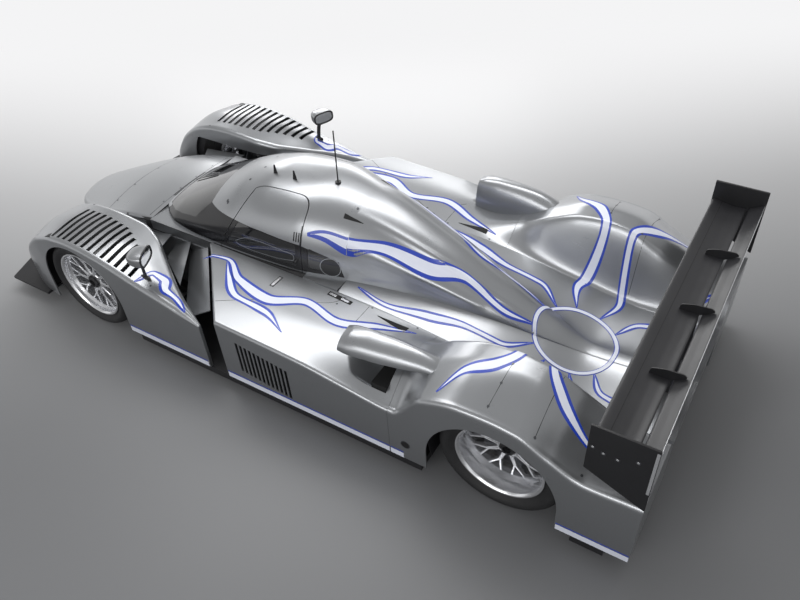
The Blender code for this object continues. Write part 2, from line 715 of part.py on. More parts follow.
def cover_line(x, drop):
    """Half section of the engine cover from the split to the centre, lowered by the drop."""
    edge = TUB_HALF - GAP
    foot_y = float(column(SPINE, x, 1))
    foot_z = float(column(SPINE, x, 3))
    ys = np.linspace(edge, foot_y, 4)[:-1]
    share = (edge - ys) / (edge - foot_y)
    zs = float(column(DECK, x, 1)) * (1 - share) + foot_z * share
    arch = spine_arch(x, 0.0, foot_z, 6)
    return [(y, z - drop) for y, z in list(zip(ys, zs)) + arch]


def make_tub(parts, cutters, material):
    """Monocoque: the hollow survival cell, whose nose end carries the front suspension."""
    rings = []
    for x in (CABIN_REAR_X, 0.0, 0.5, 1.0, CABIN_FRONT_X):
        rings.append(nose_ring(x, TUB_HALF, SILL_Z - GAP, SILL_Z - GAP, PANEL_LOW))
    for x in (1.25, 1.45, TUB_FRONT_X):
        rings.append(nose_ring(x, *[float(column(NOSE, x, i)) for i in (1, 2, 3)], PANEL_LOW))
    rings[5:5] = [nose_ring(CABIN_FRONT_X + 0.004, TUB_HALF, 0.600, SILL_Z, PANEL_LOW)]
    tub = new_object("tub", loft("tub", rings), material, parts)
    low = PANEL_LOW + TUB_FLOOR
    inner = TUB_HALF - TUB_WALL
    cut(tub, box_mesh("cabin", (CABIN_REAR_X + 0.05, -inner, low), (CABIN_WALL_X, inner, SILL_Z + 0.1)), cutters)
    return tub


def nose_ring(x, half, centre, shoulder, low, steps=4):
    """A section of the nose: flat underside, upright sides, crowned top."""
    radius = min(0.03, 0.3 * half, 0.45 * (shoulder - low))
    ys = np.linspace(half - radius, 0.0, steps + 1)
    crown = [(y, shoulder + (centre - shoulder) * (1 - (y / (half - radius)) ** 2)) for y in ys]
    right = [(half, low)] + arc(half - radius, shoulder - radius, radius, 0.0, 90.0, 3)[:-1] + crown
    left = [(-y, z) for y, z in reversed(right[:-1])]
    return [(x, y, z) for y, z in right + left]


def make_nose(parts, material):
    """Nose cone, raised above the splitter so that air passes beneath it."""
    rings = []
    for x in (TUB_FRONT_X + GAP, 1.82, 1.95, 2.05, 2.15, 2.22, 2.28, NOSE_TIP_X):
        rings.append(nose_ring(x, *[float(column(NOSE, x, i)) for i in (1, 2, 3, 4)]))
    return new_object("nose_cone", loft("nose_cone", rings), material, parts)


def windscreen_outline(inset):
    """The windscreen's outline from above: round at its foot, straight across at the roof."""
    xs = (1.165, 1.12, 1.05, 0.95, 0.80)
    front = [(x, float(column(SPINE, x, 1)) - 0.045) for x in xs]
    front.append((0.70, 0.30))
    outline = front + [(x, -y) for x, y in reversed(front)]
    return inset_outline(outline, inset)


def make_canopy(parts, cutters, material):
    """Canopy: the roof, pillars and rear bulkhead in one thick shell, cut for glass and doors."""
    canopy = new_object("canopy", dome("canopy", CANOPY_XS, 0.0, SILL_Z, DOME_STEPS), material, parts)
    inner_xs = (CABIN_REAR_X + 0.03,) + CANOPY_XS[1:-1] + (CABIN_FRONT_X + 0.01,)
    cut(canopy, dome("hollow", inner_xs, ROOF_SKIN, SILL_Z - 0.05, DOME_STEPS), cutters)
    screen = prism("screen", windscreen_outline(0.0), 2, SILL_Z + 0.01, 1.2)
    cut(canopy, screen, cutters, "DIFFERENCE", SKIN_SOLVER)
    for side in (1, -1):
        opening = side_prism("door", door_outline(SILL_Z - 0.02), side, DOOR_TOP_Y, 0.6)
        cut(canopy, opening, cutters, "DIFFERENCE", SKIN_SOLVER)
        pane = side_prism("quarter", QUARTER_GLASS, side, 0.10, 0.6)
        cut(canopy, pane, cutters, "DIFFERENCE", SKIN_SOLVER)
        a, b, c, d = HINGE_SPLITS
        cut(canopy, hinge_barrel("notch", side, b, c, HINGE_R + HINGE_ROOM), cutters, "DIFFERENCE", SKIN_SOLVER)
        cut(canopy, hinge_barrel("lower_barrel", side, a, b, HINGE_R), cutters, "UNION", SKIN_SOLVER)
        cut(canopy, hinge_barrel("upper_barrel", side, c, d, HINGE_R), cutters, "UNION", SKIN_SOLVER)
    return canopy


def door_outline(low):
    """The doorway seen from the side, from a height up past the roof: the front edge leans back."""
    def front(z):
        return (DOOR_FRONT_X - DOOR_LEAN * (z - SILL_Z), z)
    return [front(low), front(0.945), front(1.100), (DOOR_REAR_X, 1.100), (DOOR_REAR_X, low)]


def hinge_point(side, share):
    """A place on the door's hinge line, from its lower end at 0 to its upper end at 1."""
    z = HINGE_LOW_Z + share * (HINGE_HIGH_Z - HINGE_LOW_Z)
    x = DOOR_FRONT_X - DOOR_LEAN * (z - SILL_Z) - 0.5 * SWING_GAP * math.hypot(1.0, DOOR_LEAN)
    return (x, side * (HINGE_LOW_Y + share * (HINGE_HIGH_Y - HINGE_LOW_Y)), z)


def hinge_barrel(name, side, first, last, radius, shorten=0.0):
    """A round barrel on the hinge line between two shares of its length."""
    trim = shorten / math.dist(hinge_point(1, 0.0), hinge_point(1, 1.0))
    return tube(name, [hinge_point(side, first + trim), hinge_point(side, last - trim)], radius, 12)


def shell_piece(name, outer_offset, inner_offset, mask, parts, cutters, material):
    """A piece of the canopy's skin between two depths, inside a mask."""
    piece = new_object(name, dome(name, CANOPY_XS, outer_offset, SILL_Z, DOME_STEPS), material, parts)
    inner_xs = (CABIN_REAR_X - 0.01,) + CANOPY_XS[1:-1] + (CABIN_FRONT_X + 0.01,)
    cut(piece, dome("inside", inner_xs, inner_offset, SILL_Z - 0.05, DOME_STEPS), cutters)
    cut(piece, mask, cutters, "INTERSECT", SKIN_SOLVER)
    return piece


def make_door(side_name, side, parts, cutters, material):
    """Door: the cabin's side between the pillar, the roof and the sill, as thick as the real one."""
    outline = inset_outline(door_outline(SILL_Z), SWING_GAP)
    mask = side_prism("door", outline, side, DOOR_TOP_Y + SWING_GAP, 0.6)
    door = shell_piece(f"door_{side_name}", 0.0, DOOR_SKIN, mask, parts, cutters, material)
    cut(door, side_prism("window", DOOR_GLASS, side, 0.15, 0.6), cutters, "DIFFERENCE", SKIN_SOLVER)
    a, b, c, d = HINGE_SPLITS
    for name, first, last in (("lower_notch", a - 0.03, b), ("upper_notch", c, d + 0.03)):
        cut(door, hinge_barrel(name, side, first, last, HINGE_R + HINGE_ROOM), cutters, "DIFFERENCE", SKIN_SOLVER)
    cut(door, hinge_barrel("barrel", side, b, c, HINGE_R, GAP), cutters, "UNION", SKIN_SOLVER)
    put_origin(door, hinge_point(side, 0.0))
    return door


def revolve(name, profile, steps, centre, side, material, parts):
    """A turned piece on an axle across the car: a closed profile of (radius, outboard place) pairs."""
    mesh = bpy.data.meshes.new(name)
    points = [(r, 0.0, -a) for r, a in profile]
    edges = [(i, (i + 1) % len(profile)) for i in range(len(profile))]
    mesh.from_pydata(points, edges, [])
    obj = bpy.data.objects.new(name + "_profile", mesh)
    bpy.context.scene.collection.objects.link(obj)
    screw = obj.modifiers.new("turn", "SCREW")
    screw.axis = "Z"
    screw.steps = steps
    screw.render_steps = steps
    screw.use_merge_vertices = True
    screw.merge_threshold = SCREW_MERGE
    graph = bpy.context.evaluated_depsgraph_get()
    turned = bpy.data.meshes.new_from_object(obj.evaluated_get(graph))
    bpy.data.objects.remove(obj, do_unlink=True)
    bm = bmesh.new()
    bm.from_mesh(turned)
    for v in bm.verts:
        x, y, z = v.co
        v.co = (x, -side * z, y)
    face_outwards(bm)
    bm.to_mesh(turned)
    bm.free()
    turned.shade_smooth()
    turned.set_sharp_from_angle(angle=math.radians(35))
    piece = new_object(name, turned, material, parts)
    piece.location = centre
    return piece


def make_wheel(place, side, axle_x, radius, width, outer_y, dish, parts, cutters, materials):
    """Tyre and rim of one wheel. The dish is how far the spokes lie in from the rim's outer edge."""
    centre = (axle_x, side * (outer_y - 0.5 * width), radius)
    half = 0.5 * width
    bead = half - 0.030
    seat = RIM_SEAT_R + GAP
    tyre_profile = [
        (seat, bead), (RIM_FLANGE_R + 0.002, bead), (0.5 * (RIM_FLANGE_R + radius), half),
        (radius - 0.018, half - 0.008), (radius, half - 0.040),
    ]
    tyre_profile += [(r, -a) for r, a in reversed(tyre_profile)]
    revolve(f"tyre_{place}", tyre_profile, WHEEL_STEPS, centre, side, materials["tyre"], parts)
    edge = bead + 0.012
    inside = bead + GAP
    face = edge - dish
    rim_profile = [
        (RIM_FLANGE_R, edge), (RIM_FLANGE_R, inside), (RIM_SEAT_R, inside), (RIM_SEAT_R, -inside),
        (RIM_FLANGE_R, -inside), (RIM_FLANGE_R, -edge), (0.216, -edge), (0.214, face - 0.045),
        (0.072, face - 0.060), (0.070, HUB_BACK), (BORE_R, HUB_BACK), (BORE_R, face - 0.020),
        (0.205, face - 0.012), (0.234, edge),
    ]
    rim = revolve(f"rim_{place}", rim_profile, WHEEL_STEPS, centre, side, materials["rim"], parts)
    windows = bmesh.new()
    count = 10
    for i in range(count):
        middle = 2 * math.pi * (i + 0.5) / count
        share = math.pi / count
        outline = [(0.080, -0.35 * share), (0.200, -0.72 * share), (0.200, 0.72 * share), (0.080, 0.35 * share)]
        flat = [(r * math.cos(middle + t), r * math.sin(middle + t)) for r, t in outline]
        tool = prism("window", flat, 1, -0.25, 0.25)
        windows.from_mesh(tool)
        bpy.data.meshes.remove(tool)
    mesh = bpy.data.meshes.new("windows")
    windows.to_mesh(mesh)
    windows.free()
    tool = cut(rim, mesh, cutters)
    tool.location = centre
    return centre


def tube(name, path, radius, sides=8):
    """A straight or bent round bar along a path, with flat ends."""
    path = [np.asarray(p, float) for p in path]
    rings = []
    for i, p in enumerate(path):
        before = path[max(i - 1, 0)]
        after = path[min(i + 1, len(path) - 1)]
        along = after - before
        along /= np.linalg.norm(along)
        across = np.cross(along, (0.0, 0.0, 1.0))
        if np.linalg.norm(across) < 1e-6:
            across = np.array((1.0, 0.0, 0.0))
        across /= np.linalg.norm(across)
        up = np.cross(across, along)
        ring = []
        for k in range(sides):
            t = 2 * math.pi * k / sides
            ring.append(tuple(p + radius * (math.cos(t) * across + math.sin(t) * up)))
        rings.append(ring)
    return loft(name, rings)


def make_corner(place, side, centre, corner, chassis_y, parts, cutters, materials):
    """Knuckle with its stub axle, and the two wishbones that hold it at its pins above and below."""
    x, y, z = centre
    reach, low_z, high_z = corner
    hub = side * y + HUB_BACK - HUB_GAP
    pin_y = hub - PIN_IN
    block = side_box("upright", side, (x - KNUCKLE_HALF, x + KNUCKLE_HALF), (hub - 0.055, hub),
                     (z - reach, z + reach))
    knuckle = new_object(f"knuckle_{place}", block, materials["steel"], parts)
    spindle = tube("spindle", [(x, side * (hub - 0.01), z), (x, side * (hub + 0.085), z)], SPINDLE_R, 24)
    cut(knuckle, spindle, cutters, "UNION")
    put_origin(knuckle, (x, side * pin_y, z))
    plate = side_box("plate", side, (x - ARM_SPREAD - 0.02, x + ARM_SPREAD + 0.02), (chassis_y, chassis_y + 0.012),
                     (low_z - 0.02, high_z + 0.02))
    arms = new_object(f"wishbones_{place}", plate, materials["steel"], parts)
    for level, sign, inner_z in (("low", -1, low_z), ("high", 1, high_z)):
        tip = z + sign * (reach + GAP)
        root = z + sign * (reach + ARM_ROOT)
        boss = tube(level + "_boss", [(x, side * pin_y, tip), (x, side * pin_y, tip + sign * ARM_BOSS_TALL)],
                    ARM_BOSS, 12)
        cut(arms, boss, cutters, "UNION")
        for end in (-1, 1):
            leg = [(x + 0.010 * end, side * pin_y, root), (x + ARM_SPREAD * end, side * (chassis_y + 0.010), inner_z)]
            cut(arms, tube(f"{level}_leg_{end + 1}", leg, ARM_R, 6), cutters, "UNION")


def make_floor(parts, cutters, material):
    """Flat floor under the whole car, cut out round the four wheels, with the diffuser at its rear."""
    half = FLOOR_HALF
    wheels = ((REAR_AXLE_X, REAR_CUT_HALF), (FRONT_AXLE_X, FRONT_CUT_HALF))
    edge = []
    for x, reach in wheels:
        edge += [(x - reach, half), (x - reach, FLOOR_CUT_IN), (x + reach, FLOOR_CUT_IN), (x + reach, half)]
    tail = [(DIFFUSER_START_X, DIFFUSER_HALF + GAP), (FLOOR_TAIL_X, DIFFUSER_HALF + GAP), (FLOOR_TAIL_X, half)]
    edge = tail + edge[:-1] + [(SPLITTER_REAR_X - GAP, FLOOR_CUT_IN)]
    outline = edge + [(x, -y) for x, y in reversed(edge)]
    floor = new_object("floor", prism("floor", outline, 2, FLOOR_LOW, FLOOR_TOP), material, parts)
    rings = []
    for x, low, high in DIFFUSER:
        h = DIFFUSER_HALF
        rings.append([(x, -h, low), (x, h, low), (x, h, high), (x, -h, high)])
    cut(floor, loft("diffuser", rings), cutters, "UNION")
    roof = [(x, low + 0.004) for x, low, high in reversed(DIFFUSER[1:])]
    for i, y in enumerate(FENCE_YS):
        fence = [(DIFFUSER[1][0], FENCE_LOW), (DIFFUSER[-1][0] + 0.001, FENCE_LOW)] + roof
        cut(floor, prism(f"fence_{i}", fence, 1, y - FENCE_HALF, y + FENCE_HALF), cutters, "UNION")
    return floor


def make_splitter(parts, material):
    """Front splitter: a flat black blade ahead of the wheels, wider than the body."""
    outline = [(SPLITTER_REAR_X, SPLITTER_HALF), *SPLITTER_EDGE]
    outline += [(x, -y) for x, y in reversed(outline[:-1])]
    blade = prism("splitter", outline, 2, FLOOR_TOP - SPLITTER_THICK, FLOOR_TOP)
    return new_object("splitter", blade, material, parts)


def pylon_box(side, grow):
    """The wing's pylon, a thin blade that stands on the gearbox and carries the wing."""
    xs = (WING_FRONT_X - PYLON_REAR - grow, WING_FRONT_X - PYLON_FRONT + grow)
    ys = (PYLON_Y - PYLON_HALF - grow, PYLON_Y + PYLON_HALF + grow)
    return side_box("pylon", side, xs, ys, (GEARBOX_TOP_Z + GAP, WING_Z - GAP))


def make_engine(parts, material):
    """Engine and gearbox, closed inside: one plain stepped block behind the cabin."""
    rings = []
    for x, half, low, top in ENGINE:
        rings.append([(x, half, low), (x, half, top), (x, -half, top), (x, -half, low)])
    return new_object("engine", loft("engine", rings), material, parts)


def scoop_line(row, skin):
    """The hood's line across, from its foot over the crest to its lip: two quarter ellipses, moved
    inwards by the skin."""
    x, foot_y, lip_y, crest_z, lip_z = row
    foot_z = float(deck_height(x, foot_y)) - 0.03
    crest = crest_z - skin
    line = [(SCOOP_CREST_Y + (SCOOP_CREST_Y - foot_y - skin) * a, foot_z + (crest - foot_z) * b)
            for a, b in arc(0.0, 0.0, 1.0, 180.0, 90.0, 4)]
    line += [(SCOOP_CREST_Y + (lip_y - 0.4 * skin - SCOOP_CREST_Y) * a, lip_z + (crest - lip_z) * b)
             for a, b in arc(0.0, 0.0, 1.0, 90.0, 0.0, 5)[1:]]
    return line


def make_scoop(side_name, side, parts, cutters, material):
    """Air scoop: a hood over the pod's recess, open to the front and outside, that runs back into the
    rear fender."""
    rings = []
    for row in SCOOP:
        line = scoop_line(row, 0.0) + scoop_line(row, SCOOP_SKIN)[::-1]
        rings.append([(row[0], side * y, z) for y, z in line])
    scoop = new_object(f"scoop_{side_name}", loft("scoop", rings), material, parts)
    seam = [POD_REAR_X - PANEL_GAP, POD_REAR_X + 2 * PANEL_GAP]
    seam = [deck_ring(x, side, TUB_HALF + GAP, BODY_HALF, PANEL_LOW, 0.001, 0.028, 9) for x in seam]
    for name, form, lift in (("pod", pod_rings(side), GAP), ("fender", rear_fender_rings(side), GAP),
                             ("seam", seam, PANEL_GAP)):
        form = loft(name, form)
        form.transform(Matrix.Translation((0.0, 0.0, lift)))
        cut(scoop, form, cutters, "DIFFERENCE", SKIN_SOLVER)
    return scoop


def slanted_plate(name, side, corners, outline, thick):
    """A flat plate whose plane runs through three corners. Its outline is seen from above."""
    a, b, c = (np.asarray(corner) for corner in corners)
    normal = np.cross(b - a, c - a)
    top = []
    for x, y in outline:
        z = a[2] - (normal[0] * (x - a[0]) + normal[1] * (y - a[1])) / normal[2]
        top.append((x, side * y, z))
    return loft(name, [[(x, y, z - thick) for x, y, z in top], top])


def make_vanes(side_name, side, parts, cutters, material):
    """Channel plates: four flat plates, each set under its neighbour's edge, on a web at the cell's side."""
    web = side_prism("web", CHANNEL_WEB, side, TUB_HALF + GAP, TUB_HALF + GAP + CHANNEL_SKIN)
    vanes = new_object(f"channel_vanes_{side_name}", web, material, parts)
    for i, (corners, outline) in enumerate(CHANNEL_PLATES):
        cut(vanes, slanted_plate(f"plate_{i}", side, corners, outline, CHANNEL_SKIN), cutters, "UNION")
    return vanes


def make_mirror(side_name, side, parts, cutters, material):
    """Door mirror: a rounded housing on a stalk that stands on the fender's rear slope."""
    rings = []
    for dx, wide, tall in ((0.055, 0.51, 0.40), (0.035, 0.85, 0.76), (0.0, 0.97, 0.94), (-0.05, 1.0, 1.0)):
        ring = []
        for a, b in arc(0.0, 0.0, 1.0, 0.0, 315.0, 7):
            across = MIRROR_WIDE * wide * math.copysign(abs(a) ** 0.6, a)
            up = MIRROR_TALL * tall * math.copysign(abs(b) ** 0.6, b)
            ring.append((MIRROR_X + dx, side * (MIRROR_Y + across), MIRROR_Z + up))
        rings.append(ring)
    mirror = new_object(f"mirror_{side_name}", loft("housing", rings), material, parts)
    foot = float(column(FENDER, MIRROR_X + 0.03, 4)) - 0.02
    path = [(MIRROR_X + 0.03, side * (MIRROR_Y - 0.018), foot),
            (MIRROR_X + 0.02, side * (MIRROR_Y - 0.013), MIRROR_Z - 0.092),
            (MIRROR_X, side * (MIRROR_Y - 0.006), MIRROR_Z - 0.022)]
    cut(mirror, tube("stalk", path, 0.009, 6), cutters, "UNION")
    fender_form = loft("fender_form", fender_rings(side))
    fender_form.transform(Matrix.Translation((0.0, 0.0, GAP)))
    cut(mirror, fender_form, cutters, "DIFFERENCE", SKIN_SOLVER)
    return mirror


def make_antenna(parts, cutters, material):
    """Radio antenna: a thin rod on a round foot, left of the roof's middle."""
    roof = float(column(SPINE, ANTENNA_X, 2))
    foot = tube("foot", [(ANTENNA_X, ANTENNA_Y, roof - 0.03), (ANTENNA_X, ANTENNA_Y, roof + 0.008)], 0.018, 12)
    antenna = new_object("antenna", foot, material, parts)
    rod = tube("rod", [(ANTENNA_X, ANTENNA_Y, roof), (ANTENNA_X - 0.01, ANTENNA_Y, ANTENNA_TOP_Z)], 0.004, 8)
    cut(antenna, rod, cutters, "UNION")
    roof_form = dome("roof", CANOPY_XS, 0.0, SILL_Z, DOME_STEPS)
    roof_form.transform(Matrix.Translation((0.0, 0.0, GAP)))
    cut(antenna, roof_form, cutters, "DIFFERENCE", SKIN_SOLVER)
    return antenna


def make_seat(parts, material):
    """Driver's seat, right of the middle: one lofted shell from the thighs up to the head."""
    pan = 0.030
    pan_z = PANEL_LOW + TUB_FLOOR + GAP + pan
    rings = []
    for x, rise, thick in ((0.47, 0.055, 0.05), (0.27, 0.0, pan), (0.07, 0.0, pan), (-0.05, 0.07, 0.04),
                           (-0.12, 0.24, 0.04), (-0.15, 0.39, 0.04), (-0.19, 0.58, 0.04)):
        z = pan_z + rise
        lean = 0.0 if x > 0.0 else 1.0
        half = 0.17 if rise < 0.32 else 0.12
        back = (x - thick * lean, z - thick * (1.0 - lean))
        rings.append([(x, DRIVER_Y + half, z), (x, DRIVER_Y - half, z), (back[0], DRIVER_Y - half, back[1]),
                      (back[0], DRIVER_Y + half, back[1])])
    return new_object("seat", loft("seat", rings), material, parts)


def make_steering_wheel(parts, cutters, material):
    """Steering wheel and column, ahead of the seat, on the cell's front wall."""
    column_bar = tube("column", [(CABIN_WALL_X + 0.01, DRIVER_Y, 0.47), (0.62, DRIVER_Y, 0.52)], 0.014, 8)
    wheel = new_object("steering_wheel", column_bar, material, parts)
    grip = box_mesh("grip", (0.615, DRIVER_Y - 0.13, 0.47), (0.640, DRIVER_Y + 0.13, 0.575))
    cut(wheel, grip, cutters, "UNION")
    wall = box_mesh("wall", (CABIN_WALL_X - GAP, DRIVER_Y - 0.05, 0.40), (CABIN_WALL_X + 0.05, DRIVER_Y + 0.05, 0.55))
    cut(wheel, wall, cutters)
    return wheel


def make_wing(parts, cutters, materials):
    """Rear wing: a curved main plane, a flap behind its slot and the brackets that join them."""
    def section(pairs):
        return [(WING_FRONT_X - back, WING_Z + up) for back, up in pairs]
    half = PLATE_OUT - PLATE_THICK - GAP
    wing = new_object("rear_wing", prism("wing", section(WING_MAIN), 1, -half, half), materials["black"], parts)
    cut(wing, prism("flap", section(WING_FLAP), 1, -half, half), cutters, "UNION")
    for i, y in enumerate(BRACKET_YS):
        cut(wing, prism(f"bracket_{i}", section(WING_BRACKET), 1, y - 0.003, y + 0.003), cutters, "UNION")
    return wing


def make_endplate(side_name, side, parts, material):
    """Wing endplate: a flat plate whose lower edge slopes down towards the rear."""
    outline = [(WING_FRONT_X, PLATE_FRONT_Z), (WING_FRONT_X, WING_TOP_Z), (TAIL_X, WING_TOP_Z),
               (TAIL_X, PLATE_REAR_Z)]
    mesh = side_prism("endplate", outline, side, PLATE_OUT - PLATE_THICK, PLATE_OUT)
    return new_object(f"endplate_{side_name}", mesh, material, parts)


def main():
    clear_scene()
    parts = make_collection("race_car")
    cutters = make_collection("cutters")
    cutters.hide_render = True
    silver = (0.55, 0.56, 0.58)
    black = (0.02, 0.02, 0.022)
    materials = {
        "panel": make_material("silver_panel", silver, 0.35, 0.9),
        "black": make_material("black_composite", black, 0.45),
        "glass": make_material("tinted_glass", (0.02, 0.025, 0.03), 0.05, 0.0, 0.6),
        "lamp": make_material("clear_lens", (0.8, 0.82, 0.85), 0.05, 0.0, 0.5),
        "red": make_material("red_lens", (0.5, 0.02, 0.02), 0.1),
        "tyre": make_material("tyre_rubber", (0.02, 0.02, 0.02), 0.8),
        "rim": make_material("rim_alloy", (0.6, 0.6, 0.62), 0.3, 1.0),
        "steel": make_material("steel", (0.35, 0.35, 0.37), 0.4, 1.0),
    }
    make_floor(parts, cutters, materials["black"])
    make_splitter(parts, materials["black"])
    make_nose(parts, materials["panel"])
    make_tub(parts, cutters, materials["panel"])
    make_canopy(parts, cutters, materials["panel"])
    screen = prism("screen", windscreen_outline(GAP), 2, SILL_Z + 0.015, 1.2)
    shell_piece("windscreen", GLASS_INSET, GLASS_INSET + GLASS_THICK, screen, parts, cutters, materials["glass"])
    for side_name, side in (("left", 1), ("right", -1)):
        fender = make_front_fender(side_name, side, parts, cutters, materials["panel"])
        make_headlamp(side_name, side, parts, cutters, materials["lamp"], fender)
        make_sidepod(side_name, side, parts, cutters, materials["panel"])
        make_rear_fender(side_name, side, parts, cutters, materials["panel"])
        make_tail_lamp(side_name, side, parts, materials["red"])
        make_door(side_name, side, parts, cutters, materials["panel"])
        glass = side_prism("pane", inset_outline(DOOR_GLASS, GAP), side, 0.16, 0.6)
        pane = shell_piece(f"door_window_{side_name}", GLASS_INSET, GLASS_INSET + GLASS_THICK, glass, parts, cutters,
                           materials["glass"])
        put_origin(pane, hinge_point(side, 0.0))
        glass = side_prism("pane", inset_outline(QUARTER_GLASS, GAP), side, 0.12, 0.6)
        shell_piece(f"quarter_window_{side_name}", GLASS_INSET, GLASS_INSET + GLASS_THICK, glass, parts, cutters,
                    materials["glass"])
        make_endplate(side_name, side, parts, materials["black"])
        new_object(f"wing_pylon_{side_name}", pylon_box(side, 0.0), materials["black"], parts)
        make_scoop(side_name, side, parts, cutters, materials["panel"])
        make_vanes(side_name, side, parts, cutters, materials["panel"])
        make_mirror(side_name, side, parts, cutters, materials["panel"])
        centre = make_wheel(f"front_{side_name}", side, FRONT_AXLE_X, FRONT_TYRE_R, FRONT_TYRE_W,
                            FRONT_TYRE_OUT, 0.045, parts, cutters, materials)
        make_corner(f"front_{side_name}", side, centre, FRONT_CORNER, TUB_HALF + GAP, parts, cutters, materials)
        centre = make_wheel(f"rear_{side_name}", side, REAR_AXLE_X, REAR_TYRE_R, REAR_TYRE_W,
                            REAR_TYRE_OUT, 0.110, parts, cutters, materials)
        make_corner(f"rear_{side_name}", side, centre, REAR_CORNER, GEARBOX_HALF + GAP, parts, cutters, materials)
    make_engine_cover(parts, cutters, materials["panel"])
    make_wing(parts, cutters, materials)
    make_engine(parts, materials["steel"])
    make_antenna(parts, cutters, materials["black"])
    make_seat(parts, materials["black"])
    make_steering_wheel(parts, cutters, materials["black"])


main()
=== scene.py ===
"""Looks of a closed sports prototype race car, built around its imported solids.

+X is forward, +Y is the car's left, +Z is up, in metres. Each section below makes one piece of the car, or one
group of like pieces, in the order in which the car is put together.
"""
import math

import bmesh
import bpy
import numpy as np
from mathutils import Matrix, Vector


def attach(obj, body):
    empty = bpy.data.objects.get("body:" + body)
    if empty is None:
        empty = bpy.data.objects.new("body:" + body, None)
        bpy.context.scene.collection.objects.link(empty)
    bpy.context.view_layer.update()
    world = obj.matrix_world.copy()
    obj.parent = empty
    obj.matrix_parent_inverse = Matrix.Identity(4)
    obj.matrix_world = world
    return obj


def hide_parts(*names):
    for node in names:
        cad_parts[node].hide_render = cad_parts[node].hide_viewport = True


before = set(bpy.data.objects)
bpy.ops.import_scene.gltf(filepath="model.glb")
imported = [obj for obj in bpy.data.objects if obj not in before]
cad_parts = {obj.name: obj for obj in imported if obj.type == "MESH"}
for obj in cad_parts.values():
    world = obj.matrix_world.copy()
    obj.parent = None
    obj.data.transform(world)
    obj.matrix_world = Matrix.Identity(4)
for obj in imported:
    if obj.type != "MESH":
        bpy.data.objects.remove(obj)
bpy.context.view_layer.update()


# Studio: a sweep of floor whose paint pales with distance, painted shade near the car and painted light far off, a
# softbox overhead and one along each side, and a dim surround that shows white near the horizon. The camera looks
# down from the car's left rear. Its place, angles and lens come from a fit to the wheels, arches and panel ends.
CAMERA_PLACE = (-2.464, 2.970, 3.485)
CAMERA_YAW = -56.14
CAMERA_PITCH = -42.54
CAMERA_ROLL = -4.07
CAMERA_LENS_MM = 33.79
SENSOR_MM = 36.0
FLOOR_NEAR = "#727375"
FLOOR_FAR = "#f4f4f5"
FLOOR_HALF = 40.0
# The floor pales along a line: shares of x and y in the way along it, then where its paint turns pale, and where
# it shows as plain white to the backdrop rays.
FLOOR_LINE = (0.45, -0.80)
FLOOR_PALES = (-1.4, 4.6)
FLOOR_WHITE = (1.0, 4.0)
# Columns: name, place, aimed-at point, length and width, watts.
SOFTBOXES = (
    ("softbox_top", (0.9, -1.2, 4.6), (0.0, 0.0, 0.4), (5.5, 1.9), 150.0),
    ("softbox_far", (4.5, -6.5, 3.0), (0.0, 0.0, 0.5), (6.0, 2.2), 170.0),
    ("softbox_near", (-1.0, 6.5, 3.6), (0.0, 0.0, 0.4), (7.0, 2.0), 170.0),
)


def linear(hex_colour):
    """Linear red, green, blue and alpha of an sRGB hex colour."""
    shares = np.array([int(hex_colour[i:i + 2], 16) for i in (1, 3, 5)]) / 255.0
    flat = np.where(shares <= 0.04045, shares / 12.92, ((shares + 0.055) / 1.055) ** 2.4)
    return (*[float(v) for v in flat], 1.0)


def add_node(tree, kind, inputs=None, **settings):
    """Adds a node with its settings. An input given as a socket is linked, and any other is a value."""
    node = tree.nodes.new(kind)
    for key, value in settings.items():
        setattr(node, key, value)
    for name, value in (inputs or {}).items():
        if isinstance(value, bpy.types.NodeSocket):
            tree.links.new(value, node.inputs[name])
        else:
            node.inputs[name].default_value = value
    return node


def new_material(name):
    """An empty material, its node tree, its Principled shader and its Object coordinates."""
    material = bpy.data.materials.new(name)
    material.use_nodes = True
    tree = material.node_tree
    place = add_node(tree, "ShaderNodeTexCoord").outputs["Object"]
    return material, tree, tree.nodes["Principled BSDF"], place


def placed(name, data):
    """A new object of the scene that holds the data."""
    obj = bpy.data.objects.new(name, data)
    bpy.context.scene.collection.objects.link(obj)
    return obj


def mesh_of(name, points, faces):
    """A new mesh of points, given in any grid of threes, and faces."""
    mesh = bpy.data.meshes.new(name)
    mesh.from_pydata(np.reshape(points, (-1, 3)).tolist(), [], faces)
    return mesh


def noise(tree, place, scale, detail=2.0):
    """The socket of a noise from 0 to 1 over the given coordinates."""
    return add_node(tree, "ShaderNodeTexNoise", {"Vector": place, "Scale": scale, "Detail": detail}).outputs[0]


def finish(tree, shader, tone=None, gloss=None, bump=None, values=None):
    """Drives a shader by sockets, each given with its range: the tone between a dark and a pale colour, the
    roughness between two values, and the bump by its strength and depth. Plain values go on its own sockets."""
    if tone:
        share, dark, pale = tone
        mixed = add_node(tree, "ShaderNodeMix", {0: share, 6: linear(dark), 7: linear(pale)}, data_type="RGBA")
        tree.links.new(mixed.outputs[2], shader.inputs["Base Color"])
    if gloss:
        share, low, high = gloss
        rough = add_node(tree, "ShaderNodeMapRange", {"Value": share, "To Min": low, "To Max": high})
        tree.links.new(rough.outputs[0], shader.inputs["Roughness"])
    if bump:
        height, strength, depth = bump
        raised = add_node(tree, "ShaderNodeBump", {"Height": height, "Strength": strength, "Distance": depth})
        tree.links.new(raised.outputs[0], shader.inputs["Normal"])
    for socket, value in (values or {}).items():
        shader.inputs[socket].default_value = value


